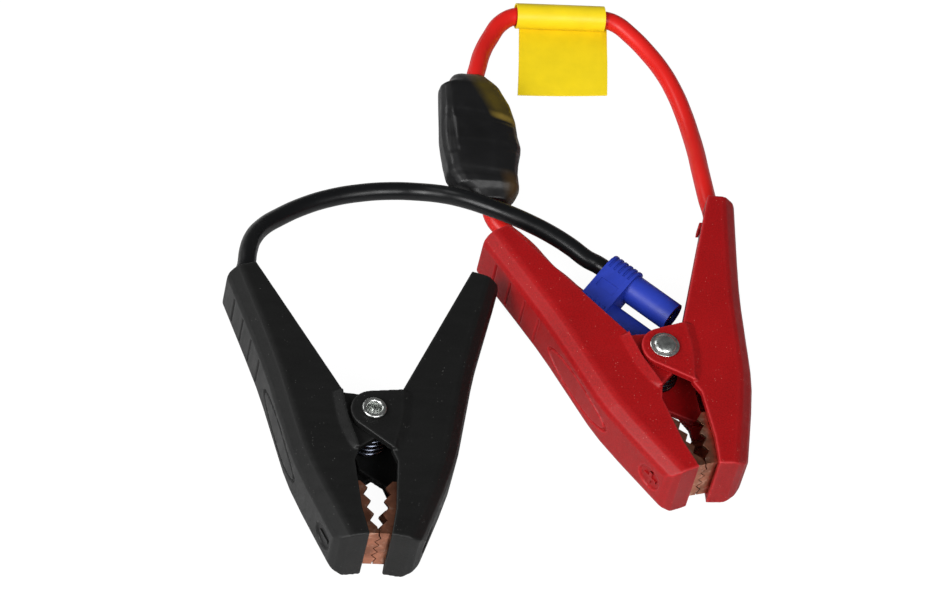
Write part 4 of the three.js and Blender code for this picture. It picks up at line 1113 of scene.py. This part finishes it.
class CLAMPLEADS_OT_module(Operator):
    """Shrinks the sleeve over the diodes and finishes what it holds"""

    bl_idname = "clampleads.module"
    bl_label = "Diode module"

    # Where the tube sinks, in millimetres.
    TOP = 5.5  # height above which it is pressed
    FACING_UP = 0.25  # least upward share of the surface's direction
    GAPS_Y = (99.4, 87.6, 77.5)  # the gaps across the diodes, where they meet x = AXIS_X
    AXIS_X = -5
    TAPER_Y = 107  # where the slope of the tape's corner starts
    DEEPEST = 0.62
    UNEVEN = 0.1  # how far the rest of the top waves

    def execute(self, context):
        sleeve = cad_copy("shrink_sleeve", "module_sleeve", join_flats=False)
        even_mesh(sleeve, SLEEVE_VOXEL, SLEEVE_PASSES)
        self.press(sleeve)
        sleeve.data.materials.append(self.sleeve_material())
        make_active(sleeve)
        bpy.ops.object.shade_smooth()
        stand_for(sleeve, "shrink_sleeve")
        for node in ("diode_1", "diode_2", "diode_3", "tape_wrap"):
            set_material(NODES[node], MATERIALS[SLOT_OF[node]])
        for node in ("input_bus_strip", "output_bus_strip"):
            set_material(NODES[node], MATERIALS["copper"])
        return {"FINISHED"}

    def press(self, sleeve):
        """Sinks the tube's top where it bridges the gaps between what it is shrunk over."""
        mesh = sleeve.data
        mesh.update()
        for vertex in mesh.vertices:
            x, y, z = vertex.co / MM
            if vertex.normal.z < self.FACING_UP or z < self.TOP:
                continue
            # The gaps lean a little, as the diodes do.
            tilt = 0.16 * (x - self.AXIS_X)
            far, middle, near = self.GAPS_Y
            beside = 1 - ramp(x, -4.9 - 0.05 * (y - 93), 0.5)
            strip = beside * ramp(y, 84, 1.2) * (1 - ramp(y, 100.5, 1.5))
            gap_1 = (1 - ramp(abs(y - far + tilt), 1.5, 0.9)) * ramp(x, -4.8, 0.5)
            gap_2 = (1 - ramp(abs(y - middle + 0.5 * tilt), 1.3, 0.9)) * ramp(x, -4.4, 0.8)
            gap_3 = 1 - ramp(abs(y - near + 0.7 * tilt), 1.1, 0.8)
            slope = ramp(x - 0.42 * (self.TAPER_Y - y), 3.2, 1.8) * ramp(y, 96, 1.5)
            sunk = 0.45 * strip + 0.4 * gap_1 + 0.3 * gap_2 + 0.3 * gap_3 + 0.35 * slope
            grain = noise.noise(Vector((x, y, z)) * 0.22)
            depth = min(self.DEEPEST, sunk) + self.UNEVEN * grain
            vertex.co.z -= depth * vertex.normal.z * MM
        mesh.update()

    def sleeve_material(self):
        """Black shrink tube, semi-gloss, stretched thin enough to show the tape at one side."""
        n = Nodes("shrink_tube")
        cloud = n.remap(n.noise(60, 4), 0.3, 0.7)
        tone = n.mix(cloud, (0.0035, 0.0035, 0.0038), (0.007, 0.007, 0.0075))
        # Amber shows at the corner with the tape, lighter in a band across it.
        along = n.ahead_of(4.4 * MM, 106 * MM, (0.93, 0.37), 1.6 * MM)
        above = n.ahead_of(3.3 * MM, 98.4 * MM, (0.19, 0.98), 0.5 * MM)
        patch = n.math("MULTIPLY", along, above)
        mottled = n.math("MULTIPLY", patch, n.remap(n.noise(210, 3), 0.25, 0.7, 0.55, 1.0))
        tone = n.mix(mottled, tone, (0.075, 0.052, 0.004))
        band = n.ahead_of(3.3 * MM, 100.4 * MM, (-0.19, -0.98), 0.7 * MM)
        tone = n.mix(n.math("MULTIPLY", mottled, band), tone, (0.19, 0.13, 0.022))
        # A browner patch shows at the corner nearest the connector.
        corner = n.ahead_of(9.4 * MM, 74 * MM, (0.9, 0.2), 1.6 * MM)
        low = n.ahead_of(9 * MM, 76.5 * MM, (0, -1), 1.5 * MM)
        brown = n.math("MULTIPLY", n.math("MULTIPLY", corner, low), 0.8)
        tone = n.mix(brown, tone, (0.055, 0.03, 0.009))
        normal = n.bump(n.noise(140, 3, distortion=0.8), 0.25 * MM, 0.35)
        normal = n.bump(n.noise(1500, 2), 0.01 * MM, 0.5, normal)
        roughness = n.remap(n.noise(130, 4), 0.3, 0.7, 0.3, 0.5)
        return n.finish(tone, roughness, normal, Specular_IOR_Level=0.36)


# ------------------------------------------------------------------ label


class CLAMPLEADS_OT_label(Operator):
    """Finishes the bare film label round the red lead with rounded edges"""

    bl_idname = "clampleads.label"
    bl_label = "Label"

    def execute(self, context):
        label = cad_copy("lead_label", "folded_label")
        label.data.materials.append(MATERIALS["yellow_label"])
        round_edges(label, 0.1 * MM, angle=40)
        stand_for(label, "lead_label")
        return {"FINISHED"}


# ------------------------------------------------------------------ panel and running


class CLAMPLEADS_PT_panel(Panel):
    """Lists the settings and the steps in order"""

    bl_idname = "CLAMPLEADS_PT_panel"
    bl_label = "Clamp Leads"
    bl_space_type = "VIEW_3D"
    bl_region_type = "UI"
    bl_category = "Clamp Leads"

    def draw(self, context):
        layout = self.layout
        settings = context.scene.clamp_leads
        for name in settings.bl_rna.properties.keys():
            if name not in {"rna_type", "name"}:
                layout.prop(settings, name)
        for operator in OPERATORS:
            layout.operator(operator.bl_idname)


OPERATORS = (
    CLAMPLEADS_OT_stage,
    CLAMPLEADS_OT_connector,
    CLAMPLEADS_OT_module,
    CLAMPLEADS_OT_label,
    CLAMPLEADS_OT_leads,
    CLAMPLEADS_OT_shells,
    CLAMPLEADS_OT_pole_signs,
    CLAMPLEADS_OT_jaws,
    CLAMPLEADS_OT_rivets,
    CLAMPLEADS_OT_springs,
    CLAMPLEADS_OT_fittings,
)
CLASSES = (ClampLeadSettings, *OPERATORS, CLAMPLEADS_PT_panel)


def register():
    for cls in CLASSES:
        bpy.utils.register_class(cls)
    bpy.types.Scene.clamp_leads = PointerProperty(type=ClampLeadSettings)


def unregister():
    del bpy.types.Scene.clamp_leads
    for cls in reversed(CLASSES):
        bpy.utils.unregister_class(cls)


def main():
    register()
    make_materials(bpy.context.scene.clamp_leads)
    steps = bpy.ops.clampleads
    steps.stage()
    steps.connector()
    steps.module()
    steps.label()
    steps.leads()
    steps.shells()
    steps.pole_signs()
    steps.jaws()
    steps.rivets()
    steps.springs()
    steps.fittings()


if __name__ == "__main__":
    main()
